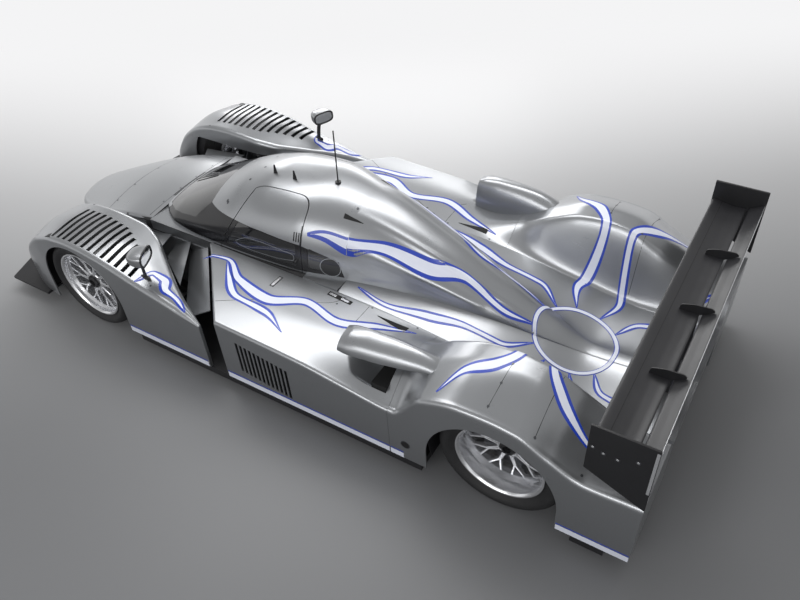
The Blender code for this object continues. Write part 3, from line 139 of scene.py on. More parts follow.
def place_camera():
    """The camera looks along yaw and pitch, then rolls about its own line of sight."""
    yaw, pitch, roll = (math.radians(a) for a in (CAMERA_YAW, CAMERA_PITCH, CAMERA_ROLL))
    ahead = Vector((math.cos(yaw) * math.cos(pitch), math.sin(yaw) * math.cos(pitch), math.sin(pitch)))
    right = ahead.cross(Vector((0.0, 0.0, 1.0))).normalized()
    up = right.cross(ahead)
    rolled_right = math.cos(roll) * right + math.sin(roll) * up
    rolled_up = math.cos(roll) * up - math.sin(roll) * right
    turn = Matrix((rolled_right, rolled_up, -ahead)).transposed().to_4x4()
    data = bpy.data.cameras.new("camera")
    data.lens = CAMERA_LENS_MM
    data.sensor_width = SENSOR_MM
    data.clip_end = 200.0
    camera = placed("camera", data)
    camera.matrix_world = Matrix.Translation(CAMERA_PLACE) @ turn
    bpy.context.scene.camera = camera


def backdrop_rays(tree):
    """One for the rays that show the backdrop itself: those of the camera, of mirroring and through glass."""
    rays = add_node(tree, "ShaderNodeLightPath")
    mirrored = add_node(tree, "ShaderNodeMath", {0: rays.outputs["Is Glossy Ray"],
                                                 1: rays.outputs["Is Transmission Ray"]}, operation="MAXIMUM")
    shown = add_node(tree, "ShaderNodeMath", {0: rays.outputs["Is Camera Ray"], 1: mirrored.outputs[0]},
                     operation="MAXIMUM")
    return shown.outputs[0]


def make_floor():
    """A flat sweep whose grey pales with distance: painted shade near the car and painted light towards its far end,
    as a lit studio floor shows.
    """
    material, tree, shader, place = new_material("studio_floor_paint")
    axes = add_node(tree, "ShaderNodeSeparateXYZ", {"Vector": place})
    along = add_node(tree, "ShaderNodeMath", {0: axes.outputs["Y"], 1: FLOOR_LINE[1]}, operation="MULTIPLY")
    reach = add_node(tree, "ShaderNodeMath", {0: axes.outputs["X"], 1: FLOOR_LINE[0], 2: along.outputs[0]},
                     operation="MULTIPLY_ADD")
    # The paint's grey: painted shade near the car, painted light far off.
    share, far = (add_node(tree, "ShaderNodeMapRange", {"Value": reach.outputs[0], "From Min": near, "From Max": end},
                           interpolation_type="SMOOTHSTEP") for near, end in (FLOOR_PALES, FLOOR_WHITE))
    finish(tree, shader, tone=(share.outputs[0], FLOOR_NEAR, FLOOR_FAR), values={"Roughness": 0.42})
    seen = add_node(tree, "ShaderNodeMath", {0: far.outputs[0], 1: backdrop_rays(tree)}, operation="MULTIPLY")
    white = add_node(tree, "ShaderNodeEmission", {"Color": linear(FLOOR_FAR), "Strength": 1.0})
    mixed = add_node(tree, "ShaderNodeMixShader", {0: seen.outputs[0], 1: shader.outputs[0], 2: white.outputs[0]})
    tree.links.new(mixed.outputs[0], tree.nodes["Material Output"].inputs["Surface"])
    h = FLOOR_HALF
    mesh = mesh_of("studio_floor", [(-h, -h, 0.0), (h, -h, 0.0), (h, h, 0.0), (-h, h, 0.0)], [(0, 1, 2, 3)])
    mesh.materials.append(material)
    floor = placed("studio_floor", mesh)


def make_light():
    """Three softboxes, and a surround that pales upwards. The backdrop rays see it white near the horizon."""
    for name, place, aim, size, watts in SOFTBOXES:
        data = bpy.data.lights.new(name, "AREA")
        data.shape = "RECTANGLE"
        data.size, data.size_y = size
        data.energy = watts
        light = placed(name, data)
        light.location = place
        light.rotation_euler = (Vector(aim) - Vector(place)).to_track_quat("-Z", "Y").to_euler()
    world = bpy.data.worlds.new("studio_surround")
    world.use_nodes = True
    bpy.context.scene.world = world
    tree = world.node_tree
    place = add_node(tree, "ShaderNodeTexCoord")
    axes = add_node(tree, "ShaderNodeSeparateXYZ", {"Vector": place.outputs["Generated"]})
    ramp = add_node(tree, "ShaderNodeMapRange", {"Value": axes.outputs["Z"], "From Min": -0.05, "From Max": 0.75,
                                                 "To Min": 0.10, "To Max": 0.55}, interpolation_type="SMOOTHSTEP")
    band = add_node(tree, "ShaderNodeMapRange", {"Value": axes.outputs["Z"], "From Min": 0.42, "From Max": 0.28},
                    interpolation_type="SMOOTHSTEP")
    seen = add_node(tree, "ShaderNodeMath", {0: band.outputs[0], 1: backdrop_rays(tree)}, operation="MULTIPLY")
    strength = add_node(tree, "ShaderNodeMix", {0: seen.outputs[0], 2: ramp.outputs[0], 3: 1.0})
    background = tree.nodes["Background"]
    background.inputs["Color"].default_value = (1.0, 1.0, 1.0, 1.0)
    tree.links.new(strength.outputs[0], background.inputs["Strength"])
    bpy.context.scene.view_settings.view_transform = "Standard"


place_camera()
make_floor()
make_light()


# Nose cone and cell: thin composite skins laid up in moulds, painted a satin metal silver. The nose slides on
# over the cell's front end, and its upper face carries on into the cell's top up to the windscreen.
GAP = 0.0003
FLOOR_TOP = 0.113
TUB_HALF = 0.44
TUB_FRONT_X = 1.700
NOSE_TIP_X = 2.325
CABIN_FRONT_X = 1.190
CABIN_REAR_X = -0.330
SILL_Z = 0.58
SKIN = 0.008
COAT_LIFT = 0.0012
NOSE_ROUND = 0.035
SHARP_DEG = 32.0
SIDES = (("left", 1), ("right", -1))
# Columns: station x, half width, centre height, shoulder's height, underside's height.
NOSE = (
    (1.190, 0.440, 0.600, 0.580, 0.1133),
    (1.450, 0.430, 0.565, 0.535, 0.1133),
    (1.700, 0.405, 0.515, 0.465, 0.140),
    (1.950, 0.350, 0.440, 0.380, 0.175),
    (2.150, 0.275, 0.365, 0.315, 0.205),
    (2.280, 0.180, 0.305, 0.275, 0.222),
    (2.325, 0.080, 0.268, 0.252, 0.232),
)


def curve_through(x, xs, ys):
    """Smooth curve through the knots (xs rising) that never overshoots them: monotone cubic pieces."""
    xs = np.asarray(xs, float)
    ys = np.asarray(ys, float)
    x = np.clip(np.asarray(x, float), xs[0], xs[-1])
    step = np.diff(xs)
    slope = np.diff(ys) / step
    tangent = np.zeros(len(xs))
    same_sign = slope[:-1] * slope[1:] > 0
    w1 = 2 * step[1:] + step[:-1]
    w2 = step[1:] + 2 * step[:-1]
    safe = np.where(same_sign, slope[:-1] * slope[1:], 1.0)
    blend = (w1 + w2) * safe / (w1 * slope[1:] + w2 * slope[:-1] + np.where(same_sign, 0.0, 1.0))
    tangent[1:-1] = np.where(same_sign, blend, 0.0)
    tangent[0] = slope[0]
    tangent[-1] = slope[-1]
    i = np.clip(np.searchsorted(xs, x, side="right") - 1, 0, len(xs) - 2)
    t = (x - xs[i]) / step[i]
    b = tangent[i] * step[i]
    c = 3 * (ys[i + 1] - ys[i]) - (2 * tangent[i] + tangent[i + 1]) * step[i]
    d = 2 * (ys[i] - ys[i + 1]) + (tangent[i] + tangent[i + 1]) * step[i]
    return ys[i] + t * (b + t * (c + t * d))


def column(table, x, index):
    """One named column of a section table, read at the stations x."""
    rows = sorted(table)
    return curve_through(x, [r[0] for r in rows], [r[index] for r in rows])


def silver_paint():
    """Satin silver over polished composite: a fine metal flake, faint polishing streaks along the car and a
    little unevenness in its gloss, so that highlights spread softly along each crest."""
    material, tree, shader, place = new_material("satin_silver_paint")
    flow = add_node(tree, "ShaderNodeMapping", {"Vector": place, "Scale": (3.0, 90.0, 90.0)})
    streaks = noise(tree, flow.outputs[0], 4.0, 4.0)
    mixed = add_node(tree, "ShaderNodeMath", {0: streaks, 1: noise(tree, place, 5.0, 3.0)}, operation="ADD")
    rough = add_node(tree, "ShaderNodeMapRange", {"Value": mixed.outputs[0], "From Min": 0.6, "From Max": 1.4,
                                                  "To Min": 0.27, "To Max": 0.34})
    tree.links.new(rough.outputs[0], shader.inputs["Roughness"])
    finish(tree, shader, tone=(noise(tree, place, 900.0, 1.0), "#8b8d90", "#a9abae"), bump=(streaks, 0.012, 0.0006),
           values={"Metallic": 0.84, "Coat Weight": 0.25, "Coat Roughness": 0.10})
    return material


SILVER = silver_paint()


def mesh_object(name, points, faces, material):
    """A mesh piece of points and faces, its doubles merged, smooth but for edges sharper than the limit."""
    return solid(name, mesh_of(name, points, faces), material)


def solid(name, mesh, material):
    """A piece from a mesh, shaded smooth between its sharp edges."""
    mesh.name = name
    mesh.materials.append(material)
    obj = placed(name, mesh)
    smooth(obj)
    return obj


def smooth(obj):
    """Merges doubled points and shades the mesh smooth between its sharp edges."""
    bm = bmesh.new()
    bm.from_mesh(obj.data)
    bmesh.ops.remove_doubles(bm, verts=bm.verts, dist=0.00002)
    bmesh.ops.dissolve_degenerate(bm, edges=bm.edges, dist=0.00001)
    bm.to_mesh(obj.data)
    bm.free()
    obj.data.shade_smooth()
    obj.data.set_sharp_from_angle(angle=math.radians(SHARP_DEG))


def grid_faces(rows, columns, start=0):
    """Quads between neighbouring rows and columns of a grid of points."""
    index = start + np.arange(rows * columns).reshape(rows, columns)
    quads = np.stack([index[:-1, :-1], index[:-1, 1:], index[1:, 1:], index[1:, :-1]], axis=-1)
    return quads.reshape(-1, 4).tolist()


def skin_grid(name, points, material, side=1):
    """A skin over a grid of points, rows by columns by three. The right side is the left one mirrored."""
    if side < 0:
        points = (points * np.array((1.0, -1.0, 1.0)))[:, ::-1]
    return mesh_object(name, points, grid_faces(*points.shape[:2]), material)


def settle(obj):
    """Applies a piece's modifiers, and shades it smooth again."""
    graph = bpy.context.evaluated_depsgraph_get()
    mesh = bpy.data.meshes.new_from_object(obj.evaluated_get(graph))
    obj.modifiers.clear()
    old = obj.data
    obj.data = mesh
    bpy.data.meshes.remove(old)
    smooth(obj)


def thicken(obj, thickness):
    """Gives an open skin its wall, inwards from the surface that shows."""
    wall = obj.modifiers.new("wall", "SOLIDIFY")
    wall.thickness = thickness
    wall.offset = -1.0
    settle(obj)


def shell(name, points, material, thickness, side=1):
    """A skin over a grid of points, with its wall."""
    obj = skin_grid(name, points, material, side)
    thicken(obj, thickness)
    return obj


def carve(obj, tools, operation="DIFFERENCE"):
    """Cuts a closed piece with closed tool meshes, one after another, and removes the tools."""
    for tool in tools:
        cutter = placed("tool", tool)
        modifier = obj.modifiers.new("cut", "BOOLEAN")
        modifier.operation = operation
        modifier.object = cutter
        settle(obj)
        bpy.data.objects.remove(cutter)
        bpy.data.meshes.remove(tool)


def face_out(mesh, merge=True):
    """Turns every face of a closed mesh outwards, after merging its doubled points where that is asked."""
    bm = bmesh.new()
    bm.from_mesh(mesh)
    if merge:
        bmesh.ops.remove_doubles(bm, verts=bm.verts, dist=0.00002)
    bmesh.ops.recalc_face_normals(bm, faces=bm.faces)
    bm.to_mesh(mesh)
    bm.free()
    return mesh


def lofted(rings, merge=True):
    """A closed mesh over rings of equal length, capped at both ends, its faces turned outwards."""
    rings = np.asarray(rings, float)
    rows, count = rings.shape[:2]
    ring = np.arange(count)
    near = (np.arange(rows - 1) * count)[:, None]
    nxt = np.roll(ring, -1)
    faces = np.stack([near + ring, near + nxt, near + nxt + count, near + ring + count], axis=-1).reshape(-1, 4)
    faces = faces.tolist() + [ring[::-1].tolist(), (ring + (rows - 1) * count).tolist()]
    return face_out(mesh_of("tool", rings, faces), merge)


def prism(outline, axis, low, high):
    """A closed tool mesh: an outline of pairs pushed from low to high along an axis."""
    outline = np.asarray(outline, float)
    return lofted([np.insert(outline, axis, value, axis=1) for value in (low, high)], merge=False)


def span(side, low, high):
    """The lower and the higher place across, on one side of the car."""
    return sorted((side * low, side * high))


def side_prism(outline, side, y_low, y_high):
    """A prism across the car, on one side of it, of an outline seen from the side."""
    return prism(outline, 1, *span(side, y_low, y_high))


def boxes(corners):
    """One tool mesh of separate boxes, each given by its lowest and highest corner."""
    corners = np.asarray(corners, float)
    unit = np.array([(x, y, z) for x in (0, 1) for y in (0, 1) for z in (0, 1)], float)
    points = corners[:, None, 0] + unit[None] * (corners[:, None, 1] - corners[:, None, 0])
    sides = np.array([(0, 1, 3, 2), (4, 6, 7, 5), (0, 4, 5, 1), (2, 3, 7, 6), (0, 2, 6, 4), (1, 5, 7, 3)])
    faces = (sides[None] + 8 * np.arange(len(corners))[:, None, None]).reshape(-1, 4)
    return mesh_of("tool", points, faces.tolist())


def fitted(obj, body, slot, *nodes):
    """Hangs a piece on the body that it rides on, and hides the plain solids that it stands for. Its slot, which would
    name its finish, is not used.
    """
    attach(obj, body)
    if nodes:
        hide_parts(*nodes)
    return obj


def sections(x, y, z):
    """A grid of points from the stations x and, at each, a row of places across and one of heights."""
    return np.stack([np.broadcast_to(x[:, None], y.shape), y, z], axis=-1)


def nose_sections(x, lift=0.0):
    """Sections of the nose across, as far as its side's foot: a parabola over the top from shoulder to
    shoulder, a quarter circle at each shoulder, and an upright side."""
    half = column(NOSE, x, 1)[:, None]
    centre = column(NOSE, x, 2)[:, None] + lift
    shoulder = column(NOSE, x, 3)[:, None] + lift
    low = column(NOSE, x, 4)[:, None]
    radius = np.minimum(NOSE_ROUND, np.minimum(0.3 * half, 0.45 * (shoulder - low)))
    across = np.linspace(-1.0, 1.0, 49) * (half - radius)
    top = shoulder + (centre - shoulder) * (1 - (across / (half - radius)) ** 2)
    turn = np.radians(np.linspace(90.0, 0.0, 9))
    arc_y = half - radius + radius * np.cos(turn)
    arc_z = shoulder - radius + radius * np.sin(turn)
    foot_y = half * np.ones(5)
    foot_z = (shoulder - radius) + (low - shoulder + radius) * np.linspace(0.15, 1.0, 5)
    y = np.concatenate([-foot_y[:, ::-1], -arc_y[:, ::-1], across, arc_y, foot_y], axis=1)
    z = np.concatenate([foot_z[:, ::-1], arc_z[:, ::-1], top, arc_z, foot_z], axis=1)
    return sections(x, y, z)


def close_nose(grid):
    """Adds the underside's edge ahead of the tip, so that the nose ends in a small blunt face."""
    tip = grid[:1].copy()
    tip[..., 2] = grid[0, 0, 2]
    return np.concatenate([tip, grid], axis=0)


stations = NOSE_TIP_X - (NOSE_TIP_X - TUB_FRONT_X - GAP) * np.linspace(0.0, 1.0, 60) ** 1.5
fitted(shell("nose_skin", close_nose(nose_sections(stations)), SILVER, SKIN), "body", "panel", "nose_cone")

cell_x = np.linspace(TUB_FRONT_X, CABIN_FRONT_X + 0.001, 40)
cell_top = skin_grid("cell_top_skin", nose_sections(cell_x, COAT_LIFT), SILVER)
fitted(cell_top, "body", "panel")


# Canopy, engine cover and their spine: one flowing form from the windscreen's foot to the tail, moulded as
# a roof shell and a rear cover. Its sections are arches whose roundness grows over the cabin.
ROOF_SKIN = 0.018
GLASS_INSET = 0.002
GLASS_THICK = 0.005
SWING_GAP = 0.005
DOOR_FRONT_X = 0.573
DOOR_REAR_X = -0.060
DOOR_LEAN = 0.5425
DOOR_TOP_Y = 0.205
DOOR_TOP_Z = 0.945
OVER_ROOF_Z = 1.100
OUTSIDE_Y = 0.6
LEDGE_FALL = 0.075
DOOR_GLASS = ((0.512, 0.622), (0.424, 0.784), (0.200, 0.782), (-0.020, 0.768), (-0.020, 0.622))
QUARTER_GLASS = ((-0.100, 0.622), (-0.100, 0.764), (-0.230, 0.722), (-0.295, 0.690), (-0.300, 0.622))
PANE_ROUND = 0.018
DOOR_ROUND = 0.085
# Columns: station x, half width at the foot, top height, foot height, roundness of the arch.
SPINE = (
    (1.19, 0.270, 0.622, 0.580, 2.0),
    (1.10, 0.345, 0.668, 0.580, 2.0),
    (1.00, 0.395, 0.718, 0.580, 2.05),
    (0.75, 0.430, 0.840, 0.580, 2.1),
    (0.50, 0.436, 0.955, 0.580, 2.1),
    (0.25, 0.430, 1.020, 0.580, 2.3),
    (0.00, 0.415, 1.035, 0.580, 2.4),
    (-0.33, 0.340, 0.980, 0.580, 2.3),
    (-0.80, 0.245, 0.810, 0.548, 2.1),
    (-1.20, 0.170, 0.610, 0.492, 2.0),
    (-1.50, 0.105, 0.465, 0.420, 2.0),
    (-1.75, 0.050, 0.372, 0.362, 2.0),
    (-2.325, 0.045, 0.420, 0.412, 2.0),
)


def arch_sections(x, angles, offset=0.0):
    """Arch over the cabin: y = half width times cos^(2/n), z = foot + rise times sin^(2/n) of the angle."""
    half = column(SPINE, x, 1)[:, None] - offset
    top = column(SPINE, x, 2)[:, None] - offset
    foot = column(SPINE, x, 3)[:, None]
    power = 2.0 / column(SPINE, x, 4)[:, None]
    turn = np.radians(angles)[None]
    y = half * np.sign(np.cos(turn)) * np.abs(np.cos(turn)) ** power
    z = foot + (top - foot) * np.abs(np.sin(turn)) ** power
    return sections(x, y, z)


def inset_outline(outline, distance):
    """A convex outline moved inwards by a distance: each corner goes to the crossing of its shifted edges."""
    pts = np.asarray(outline, float)
    nxt = np.roll(pts, -1, axis=0)
    area = 0.5 * np.sum(pts[:, 0] * nxt[:, 1] - nxt[:, 0] * pts[:, 1])
    edges = nxt - pts
    edges /= np.linalg.norm(edges, axis=1)[:, None]
    normals = np.stack([-edges[:, 1], edges[:, 0]], axis=1) * (1.0 if area > 0 else -1.0)
    before = np.roll(normals, 1, axis=0)
    return pts + distance * (before + normals) / (1.0 + np.sum(before * normals, axis=1))[:, None]


def round_corners(outline, radius, steps=5):
    """A convex outline with each corner rounded: a quadratic curve between points one radius along its edges."""
    pts = np.asarray(outline, float)
    back = np.roll(pts, 1, axis=0) - pts
    ahead = np.roll(pts, -1, axis=0) - pts
    reach_back = np.minimum(radius, 0.45 * np.linalg.norm(back, axis=1))[:, None]
    reach_ahead = np.minimum(radius, 0.45 * np.linalg.norm(ahead, axis=1))[:, None]
    start = pts + back / np.linalg.norm(back, axis=1)[:, None] * reach_back
    end = pts + ahead / np.linalg.norm(ahead, axis=1)[:, None] * reach_ahead
    t = np.linspace(0.0, 1.0, steps)[None, :, None]
    curve = (1 - t) ** 2 * start[:, None] + 2 * t * (1 - t) * pts[:, None] + t ** 2 * end[:, None]
    return curve.reshape(-1, 2)


def door_outline(low):
    """The doorway seen from the side, from a height up past the roof: its front edge leans back."""
    front = [(DOOR_FRONT_X - DOOR_LEAN * (z - SILL_Z), z) for z in (low, DOOR_TOP_Z, OVER_ROOF_Z)]
    return front + [(DOOR_REAR_X, OVER_ROOF_Z), (DOOR_REAR_X, low)]


def windscreen_outline():
    """The windscreen's outline from above: round at its foot, straight across at the roof."""
    xs = np.array((1.165, 1.12, 1.05, 0.95, 0.80))
    front = list(zip(xs, column(SPINE, xs, 1) - 0.045)) + [(0.70, 0.30)]
    return front + [(x, -y) for x, y in reversed(front)]


arch_angles = np.linspace(180.0, 0.0, 121)
cabin_x = np.linspace(CABIN_FRONT_X, CABIN_REAR_X, 110)


def cabin_piece(name, material, depths, keep, cut, *place):
    """A piece of the cabin's form from a depth below its surface and as thick as given: what lies in every tool
    of keep and outside those of cut. The place is its body, its slot and what it replaces."""
    piece = shell(name, arch_sections(cabin_x, arch_angles, depths[0]), material, depths[1])
    carve(piece, keep, "INTERSECT")
    carve(piece, cut)
    return fitted(piece, *place)


def pane_tool(outline, side, y_low, inset=0.0):
    """A side pane's tool: its outline, moved in and with round corners, from a place across to outside the car."""
    return side_prism(round_corners(inset_outline(outline, inset), PANE_ROUND), side, y_low, OUTSIDE_Y)


def doorway(side, low, inset=0.0):
    """The doorway's tool: its outline from the side, met with one from above whose two roof corners are round."""
    roof_x = DOOR_FRONT_X - DOOR_LEAN * (DOOR_TOP_Z - SILL_Z)
    plan = [(roof_x, DOOR_TOP_Y), (DOOR_FRONT_X + 0.03, TUB_HALF), (DOOR_FRONT_X + 0.03, 0.8), (DOOR_REAR_X, 0.8),
            (DOOR_REAR_X, DOOR_TOP_Y)]
    plan = round_corners(inset_outline(plan, inset), DOOR_ROUND, 9) * np.array((1.0, side))
    block = placed("doorway", prism(plan, 2, 0.4, 1.2))
    outline = inset_outline(door_outline(low), inset)
    carve(block, [side_prism(outline, side, DOOR_TOP_Y - 0.05, OUTSIDE_Y)], "INTERSECT")
    mesh = block.data
    bpy.data.objects.remove(block)
    return mesh


openings = [prism(windscreen_outline(), 2, SILL_Z + 0.010, 1.2)]
for side in (1, -1):
    openings += [doorway(side, SILL_Z - 0.02), pane_tool(QUARTER_GLASS, side, 0.10)]
cabin_piece("canopy_skin", SILVER, (0.0, ROOF_SKIN), [], openings, "body", "panel", "canopy")

for side_name, side in SIDES:
    cabin_piece(f"door_skin_{side_name}", SILVER, (0.0, ROOF_SKIN), [doorway(side, SILL_Z, SWING_GAP)],
                [pane_tool(DOOR_GLASS, side, 0.15)], f"door_body_{side_name}", "panel", f"door_{side_name}")
    for place, front, rear in (("front", CABIN_FRONT_X, DOOR_FRONT_X + 0.06),
                               ("rear", DOOR_REAR_X - 0.02, CABIN_REAR_X)):
        ledge_x = np.linspace(front, rear, 60)
        outer = np.full(60, TUB_HALF + GAP)
        y = np.stack([outer, outer, column(SPINE, ledge_x, 1) - 0.012], axis=1)
        z = SILL_Z + 0.0001 - np.array((LEDGE_FALL, 0.0, 0.0))[None] + 0.0 * y
        ledge = skin_grid(f"cell_ledge_{place}_{side_name}", sections(ledge_x, y, z), SILVER, side)
        fitted(ledge, "body", "panel")


# Windscreen and side windows: dark tinted polycarbonate, hot formed to the cabin's curve and bonded in
# flush. It mirrors the studio softly and lets a little of the cockpit through.
def tinted_glass():
    """Clear hard coat over smoke-tinted sheet: smooth and dark, with a trace of transmission."""
    material, tree, shader, place = new_material("smoke_tinted_polycarbonate")
    finish(tree, shader, gloss=(noise(tree, place, 6.0, 4.0), 0.04, 0.11), values={
        "Base Color": linear("#1c1d20"), "IOR": 1.58, "Transmission Weight": 0.45, "Coat Weight": 0.6,
        "Coat Roughness": 0.03})
    return material


TINTED = tinted_glass()
sheet = (GLASS_INSET, GLASS_THICK)
screen = prism(inset_outline(windscreen_outline(), GAP), 2, SILL_Z + 0.015, 1.2)
cabin_piece("windscreen_sheet", TINTED, sheet, [screen], [], "body", "glass", "windscreen")
for side_name, side in SIDES:
    cabin_piece(f"door_window_sheet_{side_name}", TINTED, sheet, [pane_tool(DOOR_GLASS, side, 0.16, GAP)], [],
                f"door_body_{side_name}", "glass", f"door_window_{side_name}")
    cabin_piece(f"quarter_window_sheet_{side_name}", TINTED, sheet, [pane_tool(QUARTER_GLASS, side, 0.12, GAP)], [],
                "body", "glass", f"quarter_window_{side_name}")


# Trim round the glass: a gloss black band printed on the pillars and the door, which joins the panes into one
# dark strip, a bright leaf-shaped frame inside each door's pane, slits above it, a bare round plate behind it,
# the wiper's arm and two thin fins on the roof. The plates are bonded on, the arm and fins screwed.
PRINT_DEPTHS = (-0.0008, 0.0016)
SLIT_DEPTHS = (-0.0012, 0.0020)
LEAF_DEPTHS = (GLASS_INSET - 0.0008, 0.0012)
BADGE_DEPTHS = (-0.0018, 0.0012)
BADGE_RIM_DEPTHS = (-0.0024, 0.0012)
LEAF_RIM = 0.0035
BADGE_RIM = 0.004
# Slits in the door. Columns: x, lower height, upper height, width.
SLITS = ((-0.00800, 0.789, 0.842, 0.0070), (-0.02400, 0.789, 0.842, 0.0070), (-0.04000, 0.789, 0.842, 0.0070),
         (-0.05175, 0.710, 0.880, 0.0055))
WIPER_ANGLES = (88.6, 89.2, 89.8, 90.4)
# Fins on the roof, as pairs of x and place across, and how tall and thick they are.
ROOF_FINS = ((0.300, 0.105), (0.135, 0.125))
FIN_TALL = 0.075
FIN_THICK = 0.004
# Outlines seen from the side, as pairs of x and height.
BAND = ((1.150, 0.596), (1.110, 0.640), (1.000, 0.700), (0.860, 0.760), (0.745, 0.790), (0.495, 0.786),
        (0.226, 0.786), (-0.048, 0.772), (-0.181, 0.735), (-0.290, 0.700), (-0.318, 0.596))
LEAF = ((0.444, 0.663), (0.351, 0.712), (0.237, 0.718), (0.107, 0.712), (-0.008, 0.700), (-0.008, 0.655),
        (0.117, 0.636), (0.301, 0.631), (0.413, 0.640))
BADGE = (-0.238, 0.655)
BADGE_R = 0.064


def cloudy(name, scale, detail, tones, gloss, values=None):
    """A material whose tone and roughness both follow one noise."""
    material, tree, shader, place = new_material(name)
    cloud = noise(tree, place, scale, detail)
    finish(tree, shader, tone=(cloud, *tones), gloss=(cloud, *gloss), values=values)
    return material


def full_turn(steps):
    """Angles of one full turn in even steps, without the last, which is the first again."""
    return np.radians(np.linspace(0.0, 360.0, steps + 1))[:-1]


def printed_black():
    """Gloss black print under clear coat: smooth, with a slight cloudiness in its gloss."""
    return cloudy("gloss_black_print", 9.0, 4.0, ("#0f0f11", "#1c1c1f"), (0.10, 0.20))


def disc_outline(centre, radius):
    """A circle seen from the side, as pairs of x and height."""
    turn = full_turn(60)
    return np.stack([centre[0] + radius * np.cos(turn), centre[1] + radius * np.sin(turn)], axis=1)


PRINT = printed_black()
for side_name, side in SIDES:
    door_body = f"door_body_{side_name}"
    cabin_piece(f"pillar_print_{side_name}", PRINT, PRINT_DEPTHS, [side_prism(BAND, side, 0.15, OUTSIDE_Y)],
                [prism(windscreen_outline(), 2, SILL_Z, 1.2), doorway(side, SILL_Z - 0.02, -0.0004),
                 pane_tool(QUARTER_GLASS, side, 0.10)], "body", "glass")
    cabin_piece(f"door_print_{side_name}", PRINT, PRINT_DEPTHS,
                [side_prism(BAND, side, 0.15, OUTSIDE_Y), doorway(side, SILL_Z, SWING_GAP + 0.0004)],
                [pane_tool(DOOR_GLASS, side, 0.15)], door_body, "glass")
    cabin_piece(f"pane_frame_{side_name}", SILVER, LEAF_DEPTHS,
                [side_prism(round_corners(LEAF, 0.02), side, 0.15, OUTSIDE_Y)],
                [side_prism(round_corners(inset_outline(LEAF, LEAF_RIM), 0.018), side, 0.10, OUTSIDE_Y + 0.05)],
                door_body, "panel")
    ys = span(side, 0.25, 0.45)
    marks = [((x - 0.5 * wide, ys[0], low), (x + 0.5 * wide, ys[1], high)) for x, low, high, wide in SLITS]
    cabin_piece(f"door_slits_{side_name}", PRINT, SLIT_DEPTHS, [boxes(marks)], [], door_body, "glass")
    cabin_piece(f"badge_plate_{side_name}", PRINT, BADGE_DEPTHS,
                [side_prism(disc_outline(BADGE, BADGE_R), side, 0.20, OUTSIDE_Y)], [], "body", "glass")
    cabin_piece(f"badge_rim_{side_name}", SILVER, BADGE_RIM_DEPTHS,
                [side_prism(disc_outline(BADGE, BADGE_R), side, 0.20, OUTSIDE_Y)],
                [side_prism(disc_outline(BADGE, BADGE_R - BADGE_RIM), side, 0.15, OUTSIDE_Y + 0.05)], "body", "panel")
wiper = arch_sections(np.linspace(1.150, 0.930, 40), np.array(WIPER_ANGLES), -0.004)
fitted(shell("wiper_arm", wiper, PRINT, 0.004), "body", "black")
for i, (x, y) in enumerate(ROOF_FINS):
    foot = float(arch_sections(np.array((x,)), np.array((72.0,)))[0, 0, 2]) - 0.004
    blade = [(x + 0.016, foot), (x + 0.004, foot + FIN_TALL), (x - 0.004, foot + FIN_TALL), (x - 0.018, foot)]
    blade = side_prism(blade, 1, y - 0.5 * FIN_THICK, y + 0.5 * FIN_THICK)
    fitted(solid(f"roof_fin_{i + 1}", blade, PRINT), "body", "black")


# Engine cover: the lift-off rear deck between the fenders. The spine runs down its middle and melts into
# the flat deck, with two raised ribs pressed into its skin on each side.
COVER_TAIL_X = -2.322
BODY_HALF = 0.985
CREST_LEVEL = 0.100
COVER_BLEND = 0.028
COVER_THICK = 0.015
PYLON_REAR_X = -2.22
PYLON_FRONT_X = -2.08
PYLON_Y = 0.130
PYLON_HALF = 0.005
PYLON_PLAY = 0.0015
# Columns: station x, height at the split beside the spine, crest's height, ridge's height, crest's place.
DECK = (
    (0.60, 0.580, 0.585, 0.575, 0.70),
    (0.15, 0.575, 0.578, 0.562, 0.70),
    (-0.42, 0.565, 0.567, 0.535, 0.70),
    (-0.75, 0.545, 0.555, 0.490, 0.72),
    (-1.03, 0.515, 0.620, 0.450, 0.72),
    (-1.20, 0.490, 0.716, 0.640, 0.70),
    (-1.40, 0.455, 0.796, 0.700, 0.70),
    (-1.55, 0.430, 0.810, 0.705, 0.70),
    (-1.70, 0.405, 0.795, 0.690, 0.70),
    (-1.87, 0.385, 0.716, 0.605, 0.70),
    (-2.05, 0.385, 0.625, 0.535, 0.70),
    (-2.25, 0.405, 0.566, 0.552, 0.70),
    (-2.325, 0.415, 0.560, 0.556, 0.70),
)
# Ribs over the spine. Columns: front x, rear x, angle at the front and at the rear, rise, width in degrees.
RIBS = (
    (-0.30, -1.45, 64.0, 60.0, 0.012, 5.0),
    (-0.30, -1.15, 33.0, 26.0, 0.018, 8.0),
)


def ease(share):
    """Smooth step from 0 to 1."""
    share = np.clip(share, 0.0, 1.0)
    return share * share * (3.0 - 2.0 * share)


